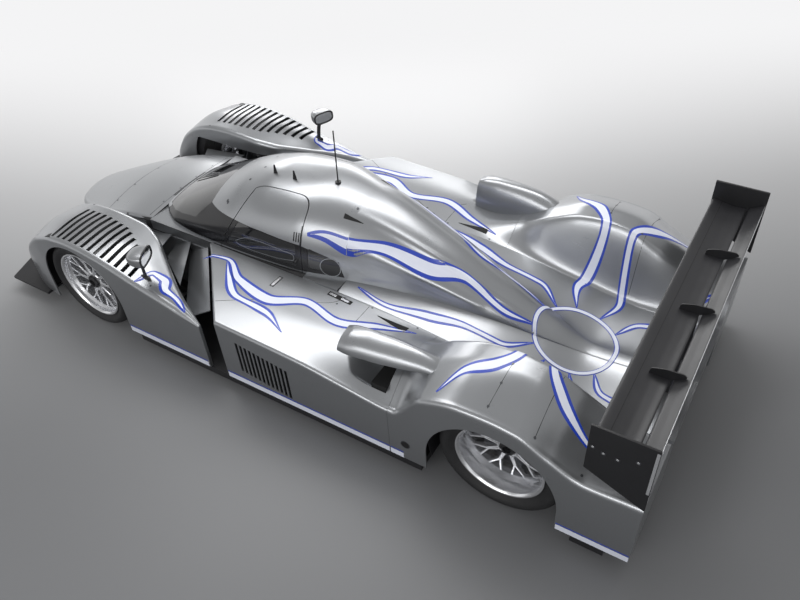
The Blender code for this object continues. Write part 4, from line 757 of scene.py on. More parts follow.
def cover_sections(x, angles, flat_count):
    """Half sections of the cover from the split in to the spine, then up its arch to the middle. The height
    is a smooth maximum of the deck and the arch, and the ribs stand out from the arch as bell curves."""
    arch = arch_sections(x, angles)
    grow = ease((CABIN_REAR_X - x) / 0.5)[:, None]
    angle = angles[None]
    swell = np.zeros(arch.shape[:2])
    for front, rear, a_front, a_rear, rise, width in RIBS:
        share = np.clip((front - x) / (front - rear), 0.0, 1.0)[:, None]
        fade = np.sin(np.pi * share) ** 0.7
        swell += rise * fade * np.exp(-((angle - a_front - (a_rear - a_front) * share) / width) ** 2)
    turn = np.radians(angle)
    y = arch[..., 1] + swell * np.cos(turn)
    z = arch[..., 2] + swell * np.sin(turn)
    edge = TUB_HALF - GAP
    foot_y = column(SPINE, x, 1)[:, None]
    foot_z = column(SPINE, x, 3)[:, None]
    share = np.linspace(0.0, 1.0, flat_count + 1)[None, :-1]
    flat_y = edge + (foot_y - edge) * share
    split = column(DECK, x, 1)[:, None]
    flat_z = split + (foot_z - split) * share
    blend = COVER_BLEND * grow
    near = np.exp(-np.abs(flat_y - foot_y) / 0.05)
    flat_z = flat_z + 0.5 * blend * near
    z = z + 0.5 * blend * np.exp(-(z - foot_z) / 0.04)
    return sections(x, np.concatenate([flat_y, y], axis=1), np.concatenate([flat_z, z], axis=1))


cover_x = np.linspace(CABIN_REAR_X - GAP, COVER_TAIL_X, 150)
half = cover_sections(cover_x, np.linspace(0.0, 90.0, 61), 30)
mirrored = half * np.array((1.0, -1.0, 1.0))
cover = np.concatenate([mirrored[:, :-1], half[:, ::-1]], axis=1)
cover = shell("engine_cover_skin", cover, SILVER, COVER_THICK)
slots = [((PYLON_REAR_X - PYLON_PLAY, y - PYLON_HALF - PYLON_PLAY, 0.30),
          (PYLON_FRONT_X + PYLON_PLAY, y + PYLON_HALF + PYLON_PLAY, 0.60)) for y in (PYLON_Y, -PYLON_Y)]
carve(cover, [boxes(slots)])
fitted(cover, "body", "panel", "engine_cover")


# Sidepods and rear fenders: the flank between the wheels, with its slanted front edge and upright grille,
# and the high crest over each rear wheel. Both are open shells with a rounded shoulder.
POD_LEAD_X = 0.645
POD_CORNER_X = 0.155
POD_REAR_X = -1.000
PANEL_GAP = 0.0015
PANEL_LOW = FLOOR_TOP + GAP
REAR_AXLE_X = -1.61
REAR_TYRE_R = 0.345
REAR_ARCH_X = -1.585
REAR_ARCH_Z = 0.245
REAR_ARCH_R = 0.3615
FRONT_AXLE_X = 1.34
FRONT_TYRE_R = 0.325
FRONT_ARCH_Z = 0.300
FRONT_ARCH_R = 0.350


def deck_height(x, y):
    """Height of the rear body: a smooth step from the split up to the level crest, then a monotone cubic
    that falls to the ridge at the side."""
    z0, z1, z2, y1 = (column(DECK, x, i)[:, None] for i in (1, 2, 3, 4))
    h0 = y1 - TUB_HALF
    h1 = BODY_HALF - y1
    s0 = (z1 - z0) / h0
    s1 = (z2 - z1) / h1
    same = s0 * s1 > 0
    w1 = 2 * h1 + h0
    w2 = h1 + 2 * h0
    t1 = np.where(same, (w1 + w2) * s0 * s1 / np.where(same, w1 * s1 + w2 * s0, 1.0), 0.0) * h1
    t = np.clip((y - y1) / h1, 0.0, 1.0)
    c = 3 * (z2 - z1) - (2 * t1 + s1 * h1)
    d = 2 * (z1 - z2) + (t1 + s1 * h1)
    outer = z1 + t * (t1 + t * (c + t * d))
    inner = z0 + (z1 - z0) * ease((y - TUB_HALF) / (h0 - CREST_LEVEL))
    return np.where(y < y1, inner, outer)


def panel_sections(x, y_in, y_out, top, r_in, r_out, counts=(5, 7, 49, 9, 30), low=PANEL_LOW):
    """Sections across one side's panel: the inner wall up, a quarter circle, the top line, the shoulder's
    quarter circle and the outer wall down to its foot."""
    x, y_in, y_out, r_in, r_out = (np.broadcast_to(v, x.shape)[:, None] for v in (x, y_in, y_out, r_in, r_out))
    wall_in, arc_in, across, arc_out, wall_out = counts
    first = y_in + r_in
    last = y_out - r_out
    top_y = first + (last - first) * np.linspace(0.0, 1.0, across)
    top_z = top(x[:, 0], top_y)
    turn = np.radians(np.linspace(180.0, 90.0, arc_in))
    in_y = first + r_in * np.cos(turn)
    in_z = top_z[:, :1] - r_in + r_in * np.sin(turn)
    up = np.linspace(0.0, 1.0, wall_in)
    inner_y = y_in * np.ones(wall_in)
    inner_z = low + (in_z[:, :1] - low) * up
    turn = np.radians(np.linspace(90.0, 0.0, arc_out))
    out_y = last + r_out * np.cos(turn)
    out_z = top_z[:, -1:] - r_out + r_out * np.sin(turn)
    outer_y = y_out * np.ones(wall_out)
    outer_z = out_z[:, -1:] + (low - out_z[:, -1:]) * np.linspace(0.0, 1.0, wall_out)
    y = np.concatenate([inner_y, in_y, top_y, out_y, outer_y], axis=1)
    z = np.concatenate([inner_z, in_z, top_z, out_z, outer_z], axis=1)
    return sections(x[:, 0], y, z)


def close_ends(grid):
    """Adds a row at each end that is dropped to the foot, which makes that end's upright face."""
    ends = grid[[0, -1]]
    ends[..., 2] = PANEL_LOW
    return np.concatenate([ends[:1], grid, ends[1:]], axis=0)


def arch_outline(x, z, radius, low=-0.1, steps=72):
    """A wheel opening seen from the side: a half circle over the wheel, straight down below its centre."""
    turn = np.radians(np.linspace(0.0, 180.0, steps + 1))
    arc = np.stack([x + radius * np.cos(turn), z + radius * np.sin(turn)], axis=1)
    return np.concatenate([arc, [(x - radius, low), (x + radius, low)]])


def pod_grid(x):
    """The sidepod's sections: its outer wall comes in along a slant ahead of the corner."""
    y_in = TUB_HALF + GAP
    share = np.minimum(1.0, (POD_LEAD_X + 0.015 - x) / (POD_LEAD_X + 0.015 - POD_CORNER_X))
    y_out = y_in + (BODY_HALF - y_in) * share
    return panel_sections(x, y_in, y_out, deck_height, 0.001, np.minimum(0.022, 0.3 * (y_out - y_in)))


def black_composite(name, tone, rough, weave_mm):
    """Matt black resin over woven fibre: a twill whose threads lie a few millimetres apart, with a dull gloss. At its
    darkest it serves as painted shade.
    """
    material, tree, shader, place = new_material(name)
    weave = add_node(tree, "ShaderNodeTexChecker", {"Vector": place, "Scale": 1000.0 / weave_mm,
                                                    "Color1": linear(tone[0]), "Color2": linear(tone[1])})
    dust = noise(tree, place, 7.0, 5.0)
    tint = add_node(tree, "ShaderNodeMix", {0: dust, 6: weave.outputs["Color"], 7: linear(tone[1])}, data_type="RGBA")
    tree.links.new(tint.outputs[2], shader.inputs["Base Color"])
    finish(tree, shader, gloss=(dust, rough - 0.08, rough + 0.10))
    return material


BLACK = black_composite("matt_black_composite", ("#0c0c0e", "#1a1a1d"), 0.45, 4.0)
# Near black with little gloss: painted shade in the scoop intakes, the grille, the vents and the exhausts, and dark
# panel seams.
SHADE_AND_SEAM_BLACK = black_composite("painted_shade_and_seam_black", ("#030303", "#060607"), 0.75, 6.0)
# The recess under the scoop. Columns: x, its floor's height, the height that its cut reaches.
RECESS = ((-0.600, 0.560, 0.650), (-0.955, 0.440, 0.720))
RECESS_IN = 0.722
RECESS_OUT = 0.915
RECESS_ROUND = 0.030
GRILLE_COUNT = 12
GRILLE_FRONT_X = 0.025
GRILLE_PITCH = 0.0315
GRILLE_LOW_Z = 0.225
GRILLE_FALL = 0.05
GRILLE_TALL = 0.235
pod_x = np.concatenate([np.linspace(POD_LEAD_X, POD_CORNER_X, 60)[:-1],
                        np.linspace(POD_CORNER_X, POD_REAR_X + PANEL_GAP, 90)])
fender_x = np.linspace(POD_REAR_X, COVER_TAIL_X, 150)


def recess_tray(x):
    """The recess under the scoop: a flat floor that sinks rearwards, a quarter circle at each side, upright
    walls up to the deck."""
    share = (RECESS[0][0] - x) / (RECESS[0][0] - RECESS[1][0])
    floor = (RECESS[0][1] + (RECESS[1][1] - RECESS[0][1]) * share)[:, None]
    turn = np.radians(np.linspace(180.0, 270.0, 9))
    round_in_y = RECESS_IN + RECESS_ROUND * (1.0 + np.cos(turn))
    round_z = RECESS_ROUND * (1.0 + np.sin(turn))
    level_y = np.linspace(RECESS_IN + RECESS_ROUND, RECESS_OUT - RECESS_ROUND, 12)[1:-1]
    y = np.concatenate([[RECESS_IN], round_in_y, level_y, RECESS_IN + RECESS_OUT - round_in_y[::-1],
                        [RECESS_OUT]])[None] * np.ones((len(x), 1))
    rise = np.concatenate([round_z, 0.0 * level_y, round_z[::-1]])[None]
    deck = deck_height(x, y) - 0.002
    inner = np.minimum(floor + rise, deck[:, 1:-1])
    return sections(x, y, np.concatenate([deck[:, :1], inner, deck[:, -1:]], axis=1))


slat_x = GRILLE_FRONT_X - np.arange(GRILLE_COUNT) * GRILLE_PITCH
slat_z = GRILLE_LOW_Z - GRILLE_FALL * np.arange(GRILLE_COUNT) / (GRILLE_COUNT - 1)
for side_name, side in SIDES:
    pod = shell(f"sidepod_skin_{side_name}", close_ends(pod_grid(pod_x)), SILVER, SKIN, side)
    corners = ((RECESS_IN, 1), (RECESS_OUT, 1), (RECESS_OUT, 2), (RECESS_IN, 2))
    carve(pod, [lofted([[(row[0], side * y, row[i]) for y, i in corners] for row in RECESS])])
    tray = recess_tray(np.linspace(RECESS[0][0], RECESS[1][0], 40))
    fitted(shell(f"scoop_recess_{side_name}", tray, SILVER, -0.002, side), "body", "panel")
    # A near-black box of painted shade fills the intake at the back of the recess.
    ys = span(side, RECESS_IN + 0.004, RECESS_OUT - 0.004)
    intake_shade = boxes([((RECESS[1][0] + 0.001, ys[0], 0.445), (RECESS[1][0] + 0.090, ys[1], 0.535))])
    fitted(solid(f"scoop_intake_shade_{side_name}", intake_shade, SHADE_AND_SEAM_BLACK), "body", "black")
    # Fins behind the grille's slots, near black: painted shade inside the pod.
    deep = np.linspace(0.0, 1.0, 5)[None, :, None]
    up = np.linspace(0.0, 1.0, 9)[None, None, :]
    fins = np.broadcast_arrays(slat_x[:, None, None] - 0.012 - 0.030 * deep, side * (BODY_HALF - 0.004 - 0.040 * deep),
                               slat_z[:, None, None] + GRILLE_TALL * up)
    faces = [face for i in range(GRILLE_COUNT) for face in grid_faces(5, 9, 45 * i)]
    fins = mesh_object(f"grille_fins_{side_name}", np.stack(fins, axis=-1), faces, SHADE_AND_SEAM_BLACK)
    thicken(fins, 0.002)
    fitted(fins, "body", "black")
    ys = span(side, BODY_HALF - 0.05, BODY_HALF + 0.05)
    carve(pod, [boxes([((x - 0.019, ys[0], z), (x, ys[1], z + GRILLE_TALL)) for x, z in zip(slat_x, slat_z)])])
    fitted(pod, "body", "panel", f"sidepod_{side_name}")

    grid = panel_sections(fender_x, TUB_HALF + GAP, BODY_HALF, deck_height, 0.001, 0.028)
    fender = shell(f"rear_fender_skin_{side_name}", close_ends(grid), SILVER, SKIN, side)
    carve(fender, [side_prism(arch_outline(REAR_ARCH_X, REAR_ARCH_Z, REAR_ARCH_R), side, 0.90, 1.05)])
    fitted(fender, "body", "panel", f"rear_fender_{side_name}")


# Front fenders: a tall rounded hump over each front wheel that runs back into a thin pointed wall. Its top
# is cut by a row of louvres, which let the air out of the wheel arch. A clear cover closes the lamps in its
# front, and black linings of moulded composite are screwed into all four arches.
# Columns: station x, inner face, outer face, inner edge's height, crown's height, outer edge's height.
FENDER = (
    (2.060, 0.640, 0.840, 0.165, 0.175, 0.160),
    (2.020, 0.600, 0.890, 0.270, 0.285, 0.265),
    (1.940, 0.570, 0.930, 0.400, 0.420, 0.385),
    (1.820, 0.555, 0.965, 0.540, 0.560, 0.520),
    (1.660, 0.550, 0.983, 0.640, 0.660, 0.630),
    (1.500, 0.550, 0.985, 0.680, 0.695, 0.680),
    (1.340, 0.550, 0.985, 0.690, 0.704, 0.696),
    (1.100, 0.555, 0.985, 0.675, 0.690, 0.672),
    (0.940, 0.600, 0.985, 0.640, 0.655, 0.632),
    (0.800, 0.690, 0.985, 0.600, 0.610, 0.592),
    (0.550, 0.845, 0.985, 0.538, 0.545, 0.533),
    (0.300, 0.965, 0.985, 0.462, 0.464, 0.460),
)
FRONT_WELL_R = 0.405
FRONT_PASSAGE_TOP = 0.560
LOUVRE_COUNT = 13
LOUVRE_PITCH = 0.055
LOUVRE_WIDTH = 0.026
LOUVRE_REAR_X = 0.835
LOUVRE_OUTER_Y = 0.952
# Inner ends of the louvres: stations x, and the place across at each.
LOUVRE_INNER = ((0.83, 0.95, 1.10, 1.30), (0.790, 0.740, 0.665, 0.640))
# Columns: axle x, axle height, radius, flat top, inner face, outer edge, hole, what holds it down.
LINERS = (
    ("front", FRONT_AXLE_X, FRONT_TYRE_R, FRONT_WELL_R, 0.672, 0.575, 0.965, 0.345, None),
    ("rear", REAR_AXLE_X, REAR_TYRE_R, 0.385, 0.700, 0.475, 0.960, 0.200, deck_height),
)
# Columns: name, x, place across and height of each lamp unit.
LAMPS = (("outer", 1.895, 0.800, 0.400), ("inner", 1.925, 0.705, 0.370))


def fender_top(x, y):
    """Across the fender the height leaves each edge at a slope and levels off at the crown, half way."""
    z_in, z_mid, z_out = (column(FENDER, x, i)[:, None] for i in (3, 4, 5))
    share = (y - y[:, :1]) / np.maximum(y[:, -1:] - y[:, :1], 1e-6)
    t = np.clip(2.0 * share, 0.0, 1.0)
    u = np.clip(2.0 * share - 1.0, 0.0, 1.0)
    rising = z_in + (z_mid - z_in) * (t + t * t - t ** 3)
    falling = z_mid + (z_out - z_mid) * (2.0 * u * u - u ** 3)
    return np.where(share < 0.5, rising, falling)


def lamp_pocket(side, inset=0.0):
    """The headlamp's window in the fender's front, seen from above, with round corners."""
    outline = round_corners(inset_outline(((1.80, 0.62), (1.80, 0.86), (2.00, 0.83), (2.03, 0.66)), inset), 0.03)
    return prism(outline * np.array((1.0, side)), 2, 0.335 + inset, 0.70)


def arch_liner(axle_x, axle_z, radius, top, y_in, y_out, hole, roof=None):
    """Lining over a wheel: a half circle cut off flat at the top, carried across, with its inner end closed by
    rows that shrink as far as the hole for the suspension. A roof, given as a height over x and y, holds it
    under the skin."""
    turn = np.radians(np.linspace(-20.0, 200.0, 61))
    x = axle_x + radius * np.cos(turn)
    z = np.minimum(axle_z + radius * np.sin(turn), top)
    shrink = np.linspace(hole / radius, 1.0, 4)[:, None]
    disc = np.stack([axle_x + (x - axle_x) * shrink, y_in + 0.0 * x * shrink, axle_z + (z - axle_z) * shrink],
                    axis=-1)
    wide = np.linspace(y_in, y_out, 9)[1:, None]
    over = np.stack([x + 0.0 * wide, wide + 0.0 * x, z + 0.0 * wide], axis=-1)
    grid = np.concatenate([disc, over], axis=0)
    if roof is not None:
        low = roof(x, grid[..., 1].T).T - 0.024
        grid[..., 2] = np.minimum(grid[..., 2], low)
    return grid


def ring_mesh(points):
    """A closed mesh from a grid of points whose rows and columns both run round."""
    rows, count = points.shape[:2]
    index = np.arange(rows * count).reshape(rows, count)
    down = np.roll(index, -1, axis=0)
    faces = np.stack([index, np.roll(index, -1, axis=1), np.roll(down, -1, axis=1), down], axis=-1).reshape(-1, 4)
    return face_out(mesh_of("turned", points, faces.tolist()))


def turned(name, profile, centre, material, axis, side=1, steps=96):
    """A turned piece: a closed profile of (radius, place along the axis) pairs carried round the x or y axis."""
    profile = np.asarray(profile, float)
    turn = full_turn(steps)
    a = profile[:, :1] * np.cos(turn)
    b = profile[:, :1] * np.sin(turn)
    along = side * profile[:, 1:] + 0.0 * a
    parts = (along, a, b) if axis == 0 else (a, along, b)
    return solid(name, ring_mesh(np.stack(parts, axis=-1) + np.asarray(centre)), material)


def clear_lens():
    """Clear moulded polycarbonate: nearly smooth, with a faint moulding ripple."""
    material, tree, shader, place = new_material("clear_moulded_polycarbonate")
    finish(tree, shader, gloss=(noise(tree, place, 12.0), 0.02, 0.08), values={
        "Base Color": linear("#f4f6f8"), "IOR": 1.58, "Transmission Weight": 1.0})
    return material


def machined_metal(name, tones, gloss, scale):
    """Bare machined metal: a fine tool grain in its tone and its gloss."""
    return cloudy(name, scale, 4.0, tones, gloss, {"Metallic": 1.0})


CLEAR = clear_lens()
CHROME = machined_metal("bright_plated_reflector", ("#c9cacc", "#e6e7e9"), (0.04, 0.12), 40.0)
DISC = machined_metal("ground_brake_disc_steel", ("#3a3a3d", "#55565a"), (0.30, 0.45), 220.0)
STEEL = machined_metal("turned_chromoly_steel", ("#4a4b4e", "#6d6e72"), (0.28, 0.45), 120.0)
# Lamp bowl and its glass: pairs of radius and place forwards.
LAMP_BOWL = ((0.002, -0.030), (0.020, -0.026), (0.034, -0.012), (0.040, 0.006), (0.043, 0.006), (0.043, -0.004),
             (0.036, -0.020), (0.022, -0.032), (0.002, -0.036))
LAMP_LENS = ((0.001, 0.014), (0.012, 0.012), (0.021, 0.004), (0.023, -0.006), (0.001, -0.010))
front_x = np.concatenate([2.06 - 0.12 * np.linspace(0.0, 1.0, 24)[:-1] ** 1.4, np.linspace(1.94, 0.30, 160)])
for side_name, side in SIDES:
    y_in = column(FENDER, front_x, 1)
    y_out = column(FENDER, front_x, 2)
    radius = np.minimum(0.035, 0.35 * (y_out - y_in))
    grid = panel_sections(front_x, y_in, y_out, fender_top, radius, radius, (8, 9, 41, 9, 30))
    fender = shell(f"front_fender_skin_{side_name}", close_ends(grid), SILVER, SKIN, side)
    slots = []
    for i in range(LOUVRE_COUNT):
        x = LOUVRE_REAR_X + i * LOUVRE_PITCH
        crown = float(column(FENDER, x, 4))
        ys = span(side, float(np.interp(x, *LOUVRE_INNER)), LOUVRE_OUTER_Y)
        slots.append(((x, ys[0], crown - 0.06), (x + LOUVRE_WIDTH, ys[1], crown + 0.03)))
    passage = arch_outline(FRONT_AXLE_X, FRONT_TYRE_R, FRONT_WELL_R)
    passage[:, 1] = np.minimum(passage[:, 1], FRONT_PASSAGE_TOP)
    carve(fender, [
        side_prism(arch_outline(FRONT_AXLE_X, FRONT_ARCH_Z, FRONT_ARCH_R), side, 0.90, 1.05),
        side_prism(passage, side, 0.45, 0.66),
        boxes(slots),
    ])
    lens = shell(f"headlamp_lens_{side_name}", close_ends(grid), CLEAR, 0.003, side)
    carve(lens, [lamp_pocket(side, GAP)], "INTERSECT")
    fitted(lens, "body", "lens", f"headlamp_{side_name}")
    carve(fender, [lamp_pocket(side)])
    fitted(fender, "body", "panel", f"front_fender_{side_name}")

    for end, *shape in LINERS:
        fitted(shell(f"{end}_liner_{side_name}", arch_liner(*shape), BLACK, 0.003, side), "body", "black")
    for place, x, y, z in LAMPS:
        centre = (x, side * y, z)
        fitted(turned(f"lamp_bowl_{place}_{side_name}", LAMP_BOWL, centre, CHROME, 0), "body", "alloy")
        fitted(turned(f"lamp_bulb_{place}_{side_name}", LAMP_LENS, centre, CLEAR, 0), "body", "lens")


# Wheels: forged alloy rims with ten forked spokes and a polished lip, held by one centre nut, on smooth
# racing tyres. A ground steel disc turns behind the spokes.
RIM_SEAT_R = 0.2286
RIM_FLANGE_R = 0.245
HUB_BACK = -0.045
SPOKE_COUNT = 10
# Columns: end of the car, axle x, tyre radius, width, outer face, how far in the spokes lie.
WHEELS = (
    ("front", FRONT_AXLE_X, FRONT_TYRE_R, 0.33, 0.965, 0.045),
    ("rear", REAR_AXLE_X, REAR_TYRE_R, 0.36, 0.945, 0.110),
)
# Spoke bars. Columns: radius at each end, angle at each end in spoke steps, half width at each end, how far the
# front face lies behind the rim's face plane at each end.
SPOKE_BARS = (
    (0.058, 0.148, 0.00, 0.00, 0.0130, 0.0095, 0.000, 0.004),
    (0.135, 0.2145, 0.01, 0.27, 0.0065, 0.0055, 0.003, 0.000),
    (0.135, 0.2145, -0.01, -0.27, 0.0065, 0.0055, 0.003, 0.000),
)


def spoke_bars(face, side, centre):
    """Every spoke as one mesh. A bar runs straight in the wheel's plane between two radii and angles, and its
    section is a rounded block: half width times cos^(1/2), half depth times sin^(1/2) of the angle round it."""
    share = np.linspace(0.0, 1.0, 9)
    turn = full_turn(12)
    round_cos = np.sign(np.cos(turn)) * np.abs(np.cos(turn)) ** 0.5
    round_sin = np.sign(np.sin(turn)) * np.abs(np.sin(turn)) ** 0.5
    step = 2.0 * math.pi / SPOKE_COUNT
    spokes = step * np.arange(SPOKE_COUNT)
    points = []
    faces = []
    start = 0
    for r0, r1, a0, a1, w0, w1, d0, d1 in SPOKE_BARS:
        ends = [np.stack([r * np.cos(spokes + a * step), r * np.sin(spokes + a * step)], axis=-1)
                for r, a in ((r0, a0), (r1, a1))]
        path = ends[0][:, None] + (ends[1] - ends[0])[:, None] * share[None, :, None]
        along = (ends[1] - ends[0]) / np.linalg.norm(ends[1] - ends[0], axis=-1)[:, None]
        across = np.stack([-along[:, 1], along[:, 0]], axis=-1)
        half = w0 + (w1 - w0) * share
        back = d0 + (d1 - d0) * share
        deep = 0.019 - 0.008 * share
        flat = path[:, :, None] + across[:, None, None] * (half[:, None] * round_cos)[None, :, :, None]
        out = face - back[:, None] - deep[:, None] * (1.0 - round_sin)[None]
        out = np.broadcast_to(out[None], flat.shape[:3])
        points.append(np.stack([centre[0] + flat[..., 0], centre[1] + side * out, centre[2] + flat[..., 1]], axis=-1))
        rows, count = len(share), len(turn)
        for i in range(SPOKE_COUNT):
            index = start + np.arange(rows * count).reshape(rows, count)
            wrap = np.concatenate([index, index[:, :1]], axis=1)
            quads = np.stack([wrap[:-1, :-1], wrap[:-1, 1:], wrap[1:, 1:], wrap[1:, :-1]], axis=-1)
            faces += quads.reshape(-1, 4).tolist() + [index[0].tolist(), index[-1, ::-1].tolist()]
            start += rows * count
    return face_out(mesh_of("spokes", points, faces))


def wheel_nut(face, side, centre):
    """The centre nut: a turned cup whose outer radius swells and shrinks six times round it."""
    profile = np.array(((0.016, -0.020), (0.044, -0.012), (0.043, 0.010), (0.036, 0.016), (0.024, 0.016),
                        (0.022, 0.004), (0.016, 0.004)))
    turn = full_turn(96)
    lobes = 1.0 + 0.06 * np.cos(6.0 * turn)
    radius = np.where(profile[:, :1] > 0.03, profile[:, :1] * lobes[None], profile[:, :1])
    out = face + profile[:, 1:] + 0.0 * lobes[None]
    points = np.stack([centre[0] + radius * np.cos(turn), centre[1] + side * out, centre[2] + radius * np.sin(turn)],
                      axis=-1)
    return ring_mesh(points)


def forged_alloy():
    """Forged aluminium, machined and clear coated: a fine grain and a bright, slightly spread reflection."""
    return cloudy("forged_machined_aluminium", 160.0, 3.0, ("#d2d3d6", "#ebecef"), (0.20, 0.28), {"Metallic": 0.85})


def slick_rubber(name, axle_x, axle_z):
    """Racing rubber: black, dull and a little dusty, with moulded rings round the sidewall 9 mm apart."""
    material, tree, shader, place = new_material(name)
    centred = add_node(tree, "ShaderNodeMapping", {"Vector": place, "Location": (-axle_x, 0.0, -axle_z),
                                                   "Scale": (1.0, 0.0, 1.0)})
    reach = add_node(tree, "ShaderNodeVectorMath", {0: centred.outputs[0]}, operation="LENGTH")
    rings = add_node(tree, "ShaderNodeMath", {0: reach.outputs["Value"], 1: 700.0}, operation="MULTIPLY")
    wave = add_node(tree, "ShaderNodeMath", {0: rings.outputs[0]}, operation="SINE")
    dust = noise(tree, place, 30.0, 6.0)
    both = add_node(tree, "ShaderNodeMath", {0: wave.outputs[0], 1: 0.25, 2: dust}, operation="MULTIPLY_ADD")
    finish(tree, shader, tone=(dust, "#0e0e0f", "#232325"), gloss=(dust, 0.52, 0.74),
           bump=(both.outputs[0], 0.25, 0.001))
    return material


def repaint(node, material):
    """Gives one of the plain solids its material."""
    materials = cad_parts[node].data.materials
    materials.clear()
    materials.append(material)


ALLOY = forged_alloy()
for end, axle_x, radius, width, outer_y, dish in WHEELS:
    rubber = slick_rubber(f"slick_rubber_{end}", axle_x, radius)
    half = 0.5 * width
    bead = half - 0.030
    edge = bead + 0.012
    inside = bead + GAP
    face = edge - dish
    seat = RIM_SEAT_R + GAP
    shoulder = [(seat, bead), (RIM_FLANGE_R + 0.002, bead), (0.5 * (RIM_FLANGE_R + radius), half),
                (radius - 0.018, half - 0.008), (radius, half - 0.040)]
    tyre = round_corners(shoulder + [(r, -a) for r, a in shoulder[::-1]], 0.024, 9)
    barrel = [(RIM_FLANGE_R, edge), (RIM_FLANGE_R, inside), (RIM_SEAT_R, inside), (RIM_SEAT_R, -inside),
              (RIM_FLANGE_R, -inside), (RIM_FLANGE_R, -edge), (0.216, -edge), (0.2145, face - 0.045),
              (0.2135, face - 0.004), (0.224, face + 0.3 * dish), (0.226, edge - 0.012), (0.236, edge)]
    barrel = round_corners(barrel, 0.002, 3)
    hub = round_corners([(0.030, face - 0.003), (0.064, face - 0.003), (0.070, face - 0.010), (0.070, HUB_BACK),
                         (0.030, HUB_BACK)], 0.003, 4)
    disc_y = min(0.010, face - 0.052)
    disc = round_corners([(0.098, disc_y), (0.182, disc_y), (0.182, disc_y - 0.030), (0.098, disc_y - 0.030)],
                         0.002, 4)
    for side_name, side in SIDES:
        centre = (axle_x, side * (outer_y - half), radius)
        place = f"{end}_{side_name}"
        body = f"wheel_{place}"
        fitted(turned(f"tyre_carcass_{place}", tyre, centre, rubber, 1, side), body, "tyre", f"tyre_{place}")
        fitted(turned(f"rim_barrel_{place}", barrel, centre, ALLOY, 1, side), body, "alloy", f"rim_{place}")
        fitted(solid(f"rim_spokes_{place}", spoke_bars(face, side, centre), ALLOY), body, "alloy")
        fitted(turned(f"rim_hub_{place}", hub, centre, ALLOY, 1, side), body, "alloy")
        fitted(solid(f"wheel_nut_{place}", wheel_nut(face, side, centre), BLACK), body, "black")
        fitted(turned(f"brake_disc_{place}", disc, centre, DISC, 1, side), body, "steel")
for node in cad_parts:
    if node.startswith(("knuckle", "wishbones", "engine")) and node != "engine_cover":
        repaint(node, STEEL)


# Air scoops: a moulded hood over each recess, open to the front and outside. Its crest runs back into the
# rear fender. It is laid up in the body's own skin and painted with it.
# Columns: station x, foot's place across, lip's place across, crest's height, lip's height.
SCOOP = (
    (-0.650, 0.708, 0.892, 0.722, 0.652),
    (-0.700, 0.700, 0.897, 0.742, 0.652),
    (-0.800, 0.692, 0.890, 0.752, 0.657),
    (-0.900, 0.690, 0.880, 0.752, 0.662),
    (-1.000, 0.690, 0.866, 0.748, 0.668),
    (-1.080, 0.692, 0.850, 0.738, 0.672),
    (-1.150, 0.700, 0.832, 0.720, 0.672),
    (-1.200, 0.706, 0.820, 0.700, 0.660),
)
SCOOP_CREST_Y = 0.770
SCOOP_SKIN = 0.014


def scoop_grid(x):
    """The hood's sections: a quarter ellipse up from the foot to the crest, a quarter ellipse down to the lip."""
    foot_y, lip_y, crest_z, lip_z = (column(SCOOP, x, i)[:, None] for i in (1, 2, 3, 4))
    foot_z = deck_height(x, foot_y) - 0.030
    rise = np.radians(np.linspace(180.0, 90.0, 25))
    fall = np.radians(np.linspace(90.0, 0.0, 33))[1:]
    y = np.concatenate([SCOOP_CREST_Y + (SCOOP_CREST_Y - foot_y) * np.cos(rise),
                        SCOOP_CREST_Y + (lip_y - SCOOP_CREST_Y) * np.cos(fall)], axis=1)
    z = np.concatenate([foot_z + (crest_z - foot_z) * np.sin(rise), lip_z + (crest_z - lip_z) * np.sin(fall)], axis=1)
    return sections(x, y, z)


def round_edges(obj, width, segments):
    """Rounds a piece's edges where its faces meet at more than 50 degrees."""
    bevel = obj.modifiers.new("edge", "BEVEL")
    bevel.width = width
    bevel.segments = segments
    bevel.limit_method = "ANGLE"
    bevel.angle_limit = math.radians(50.0)
    settle(obj)


scoop_x = np.linspace(SCOOP[0][0], SCOOP[-1][0], 70)
for side_name, side in SIDES:
    hood = shell(f"scoop_skin_{side_name}", scoop_grid(scoop_x), SILVER, SCOOP_SKIN, side)
    round_edges(hood, 0.003, 3)
    fitted(hood, "body", "panel", f"scoop_{side_name}")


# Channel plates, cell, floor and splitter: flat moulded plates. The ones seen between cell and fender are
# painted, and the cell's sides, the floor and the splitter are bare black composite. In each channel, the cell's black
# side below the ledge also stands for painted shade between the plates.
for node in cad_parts:
    if node in ("tub", "floor", "splitter", "antenna"):
        repaint(node, BLACK)
    elif node.startswith("channel_vanes"):
        repaint(node, SILVER)


# Rear wing: moulded main plane and flap in matt black composite, joined by thin brackets, between two flat
# endplates that are bolted on. Two thin pylons carry it from the gearbox.
WING_TOP_Z = 0.998
WING_Z = 0.845
WING_FRONT_X = -2.034
TAIL_X = -2.325
PLATE_OUT = 0.998
PLATE_THICK = 0.012
PLATE_FRONT_Z = 0.707
PLATE_REAR_Z = 0.573
# Pairs of the way back from the wing's front edge and the height above its underside.
WING_MAIN = (
    (0.004, 0.030), (0.012, 0.036), (0.035, 0.033), (0.075, 0.024), (0.120, 0.017), (0.165, 0.016), (0.197, 0.020),
    (0.197, 0.012), (0.180, 0.000), (0.050, 0.000), (0.025, 0.006), (0.008, 0.018),
)
WING_FLAP = (
    (0.207, 0.016), (0.214, 0.028), (0.250, 0.047), (0.286, 0.071), (0.288, 0.065), (0.250, 0.037), (0.222, 0.020),
)
WING_BRACKET = ((0.096, 0.010), (0.102, 0.052), (0.166, 0.073), (0.250, 0.078), (0.266, 0.060), (0.186, 0.010))


WING_STRIP = ((0.285, 0.0715), (0.288, 0.0715), (0.2885, 0.066), (0.2860, 0.066))
WING_HALF = PLATE_OUT - PLATE_THICK - GAP
BRACKET_THICK = 0.006
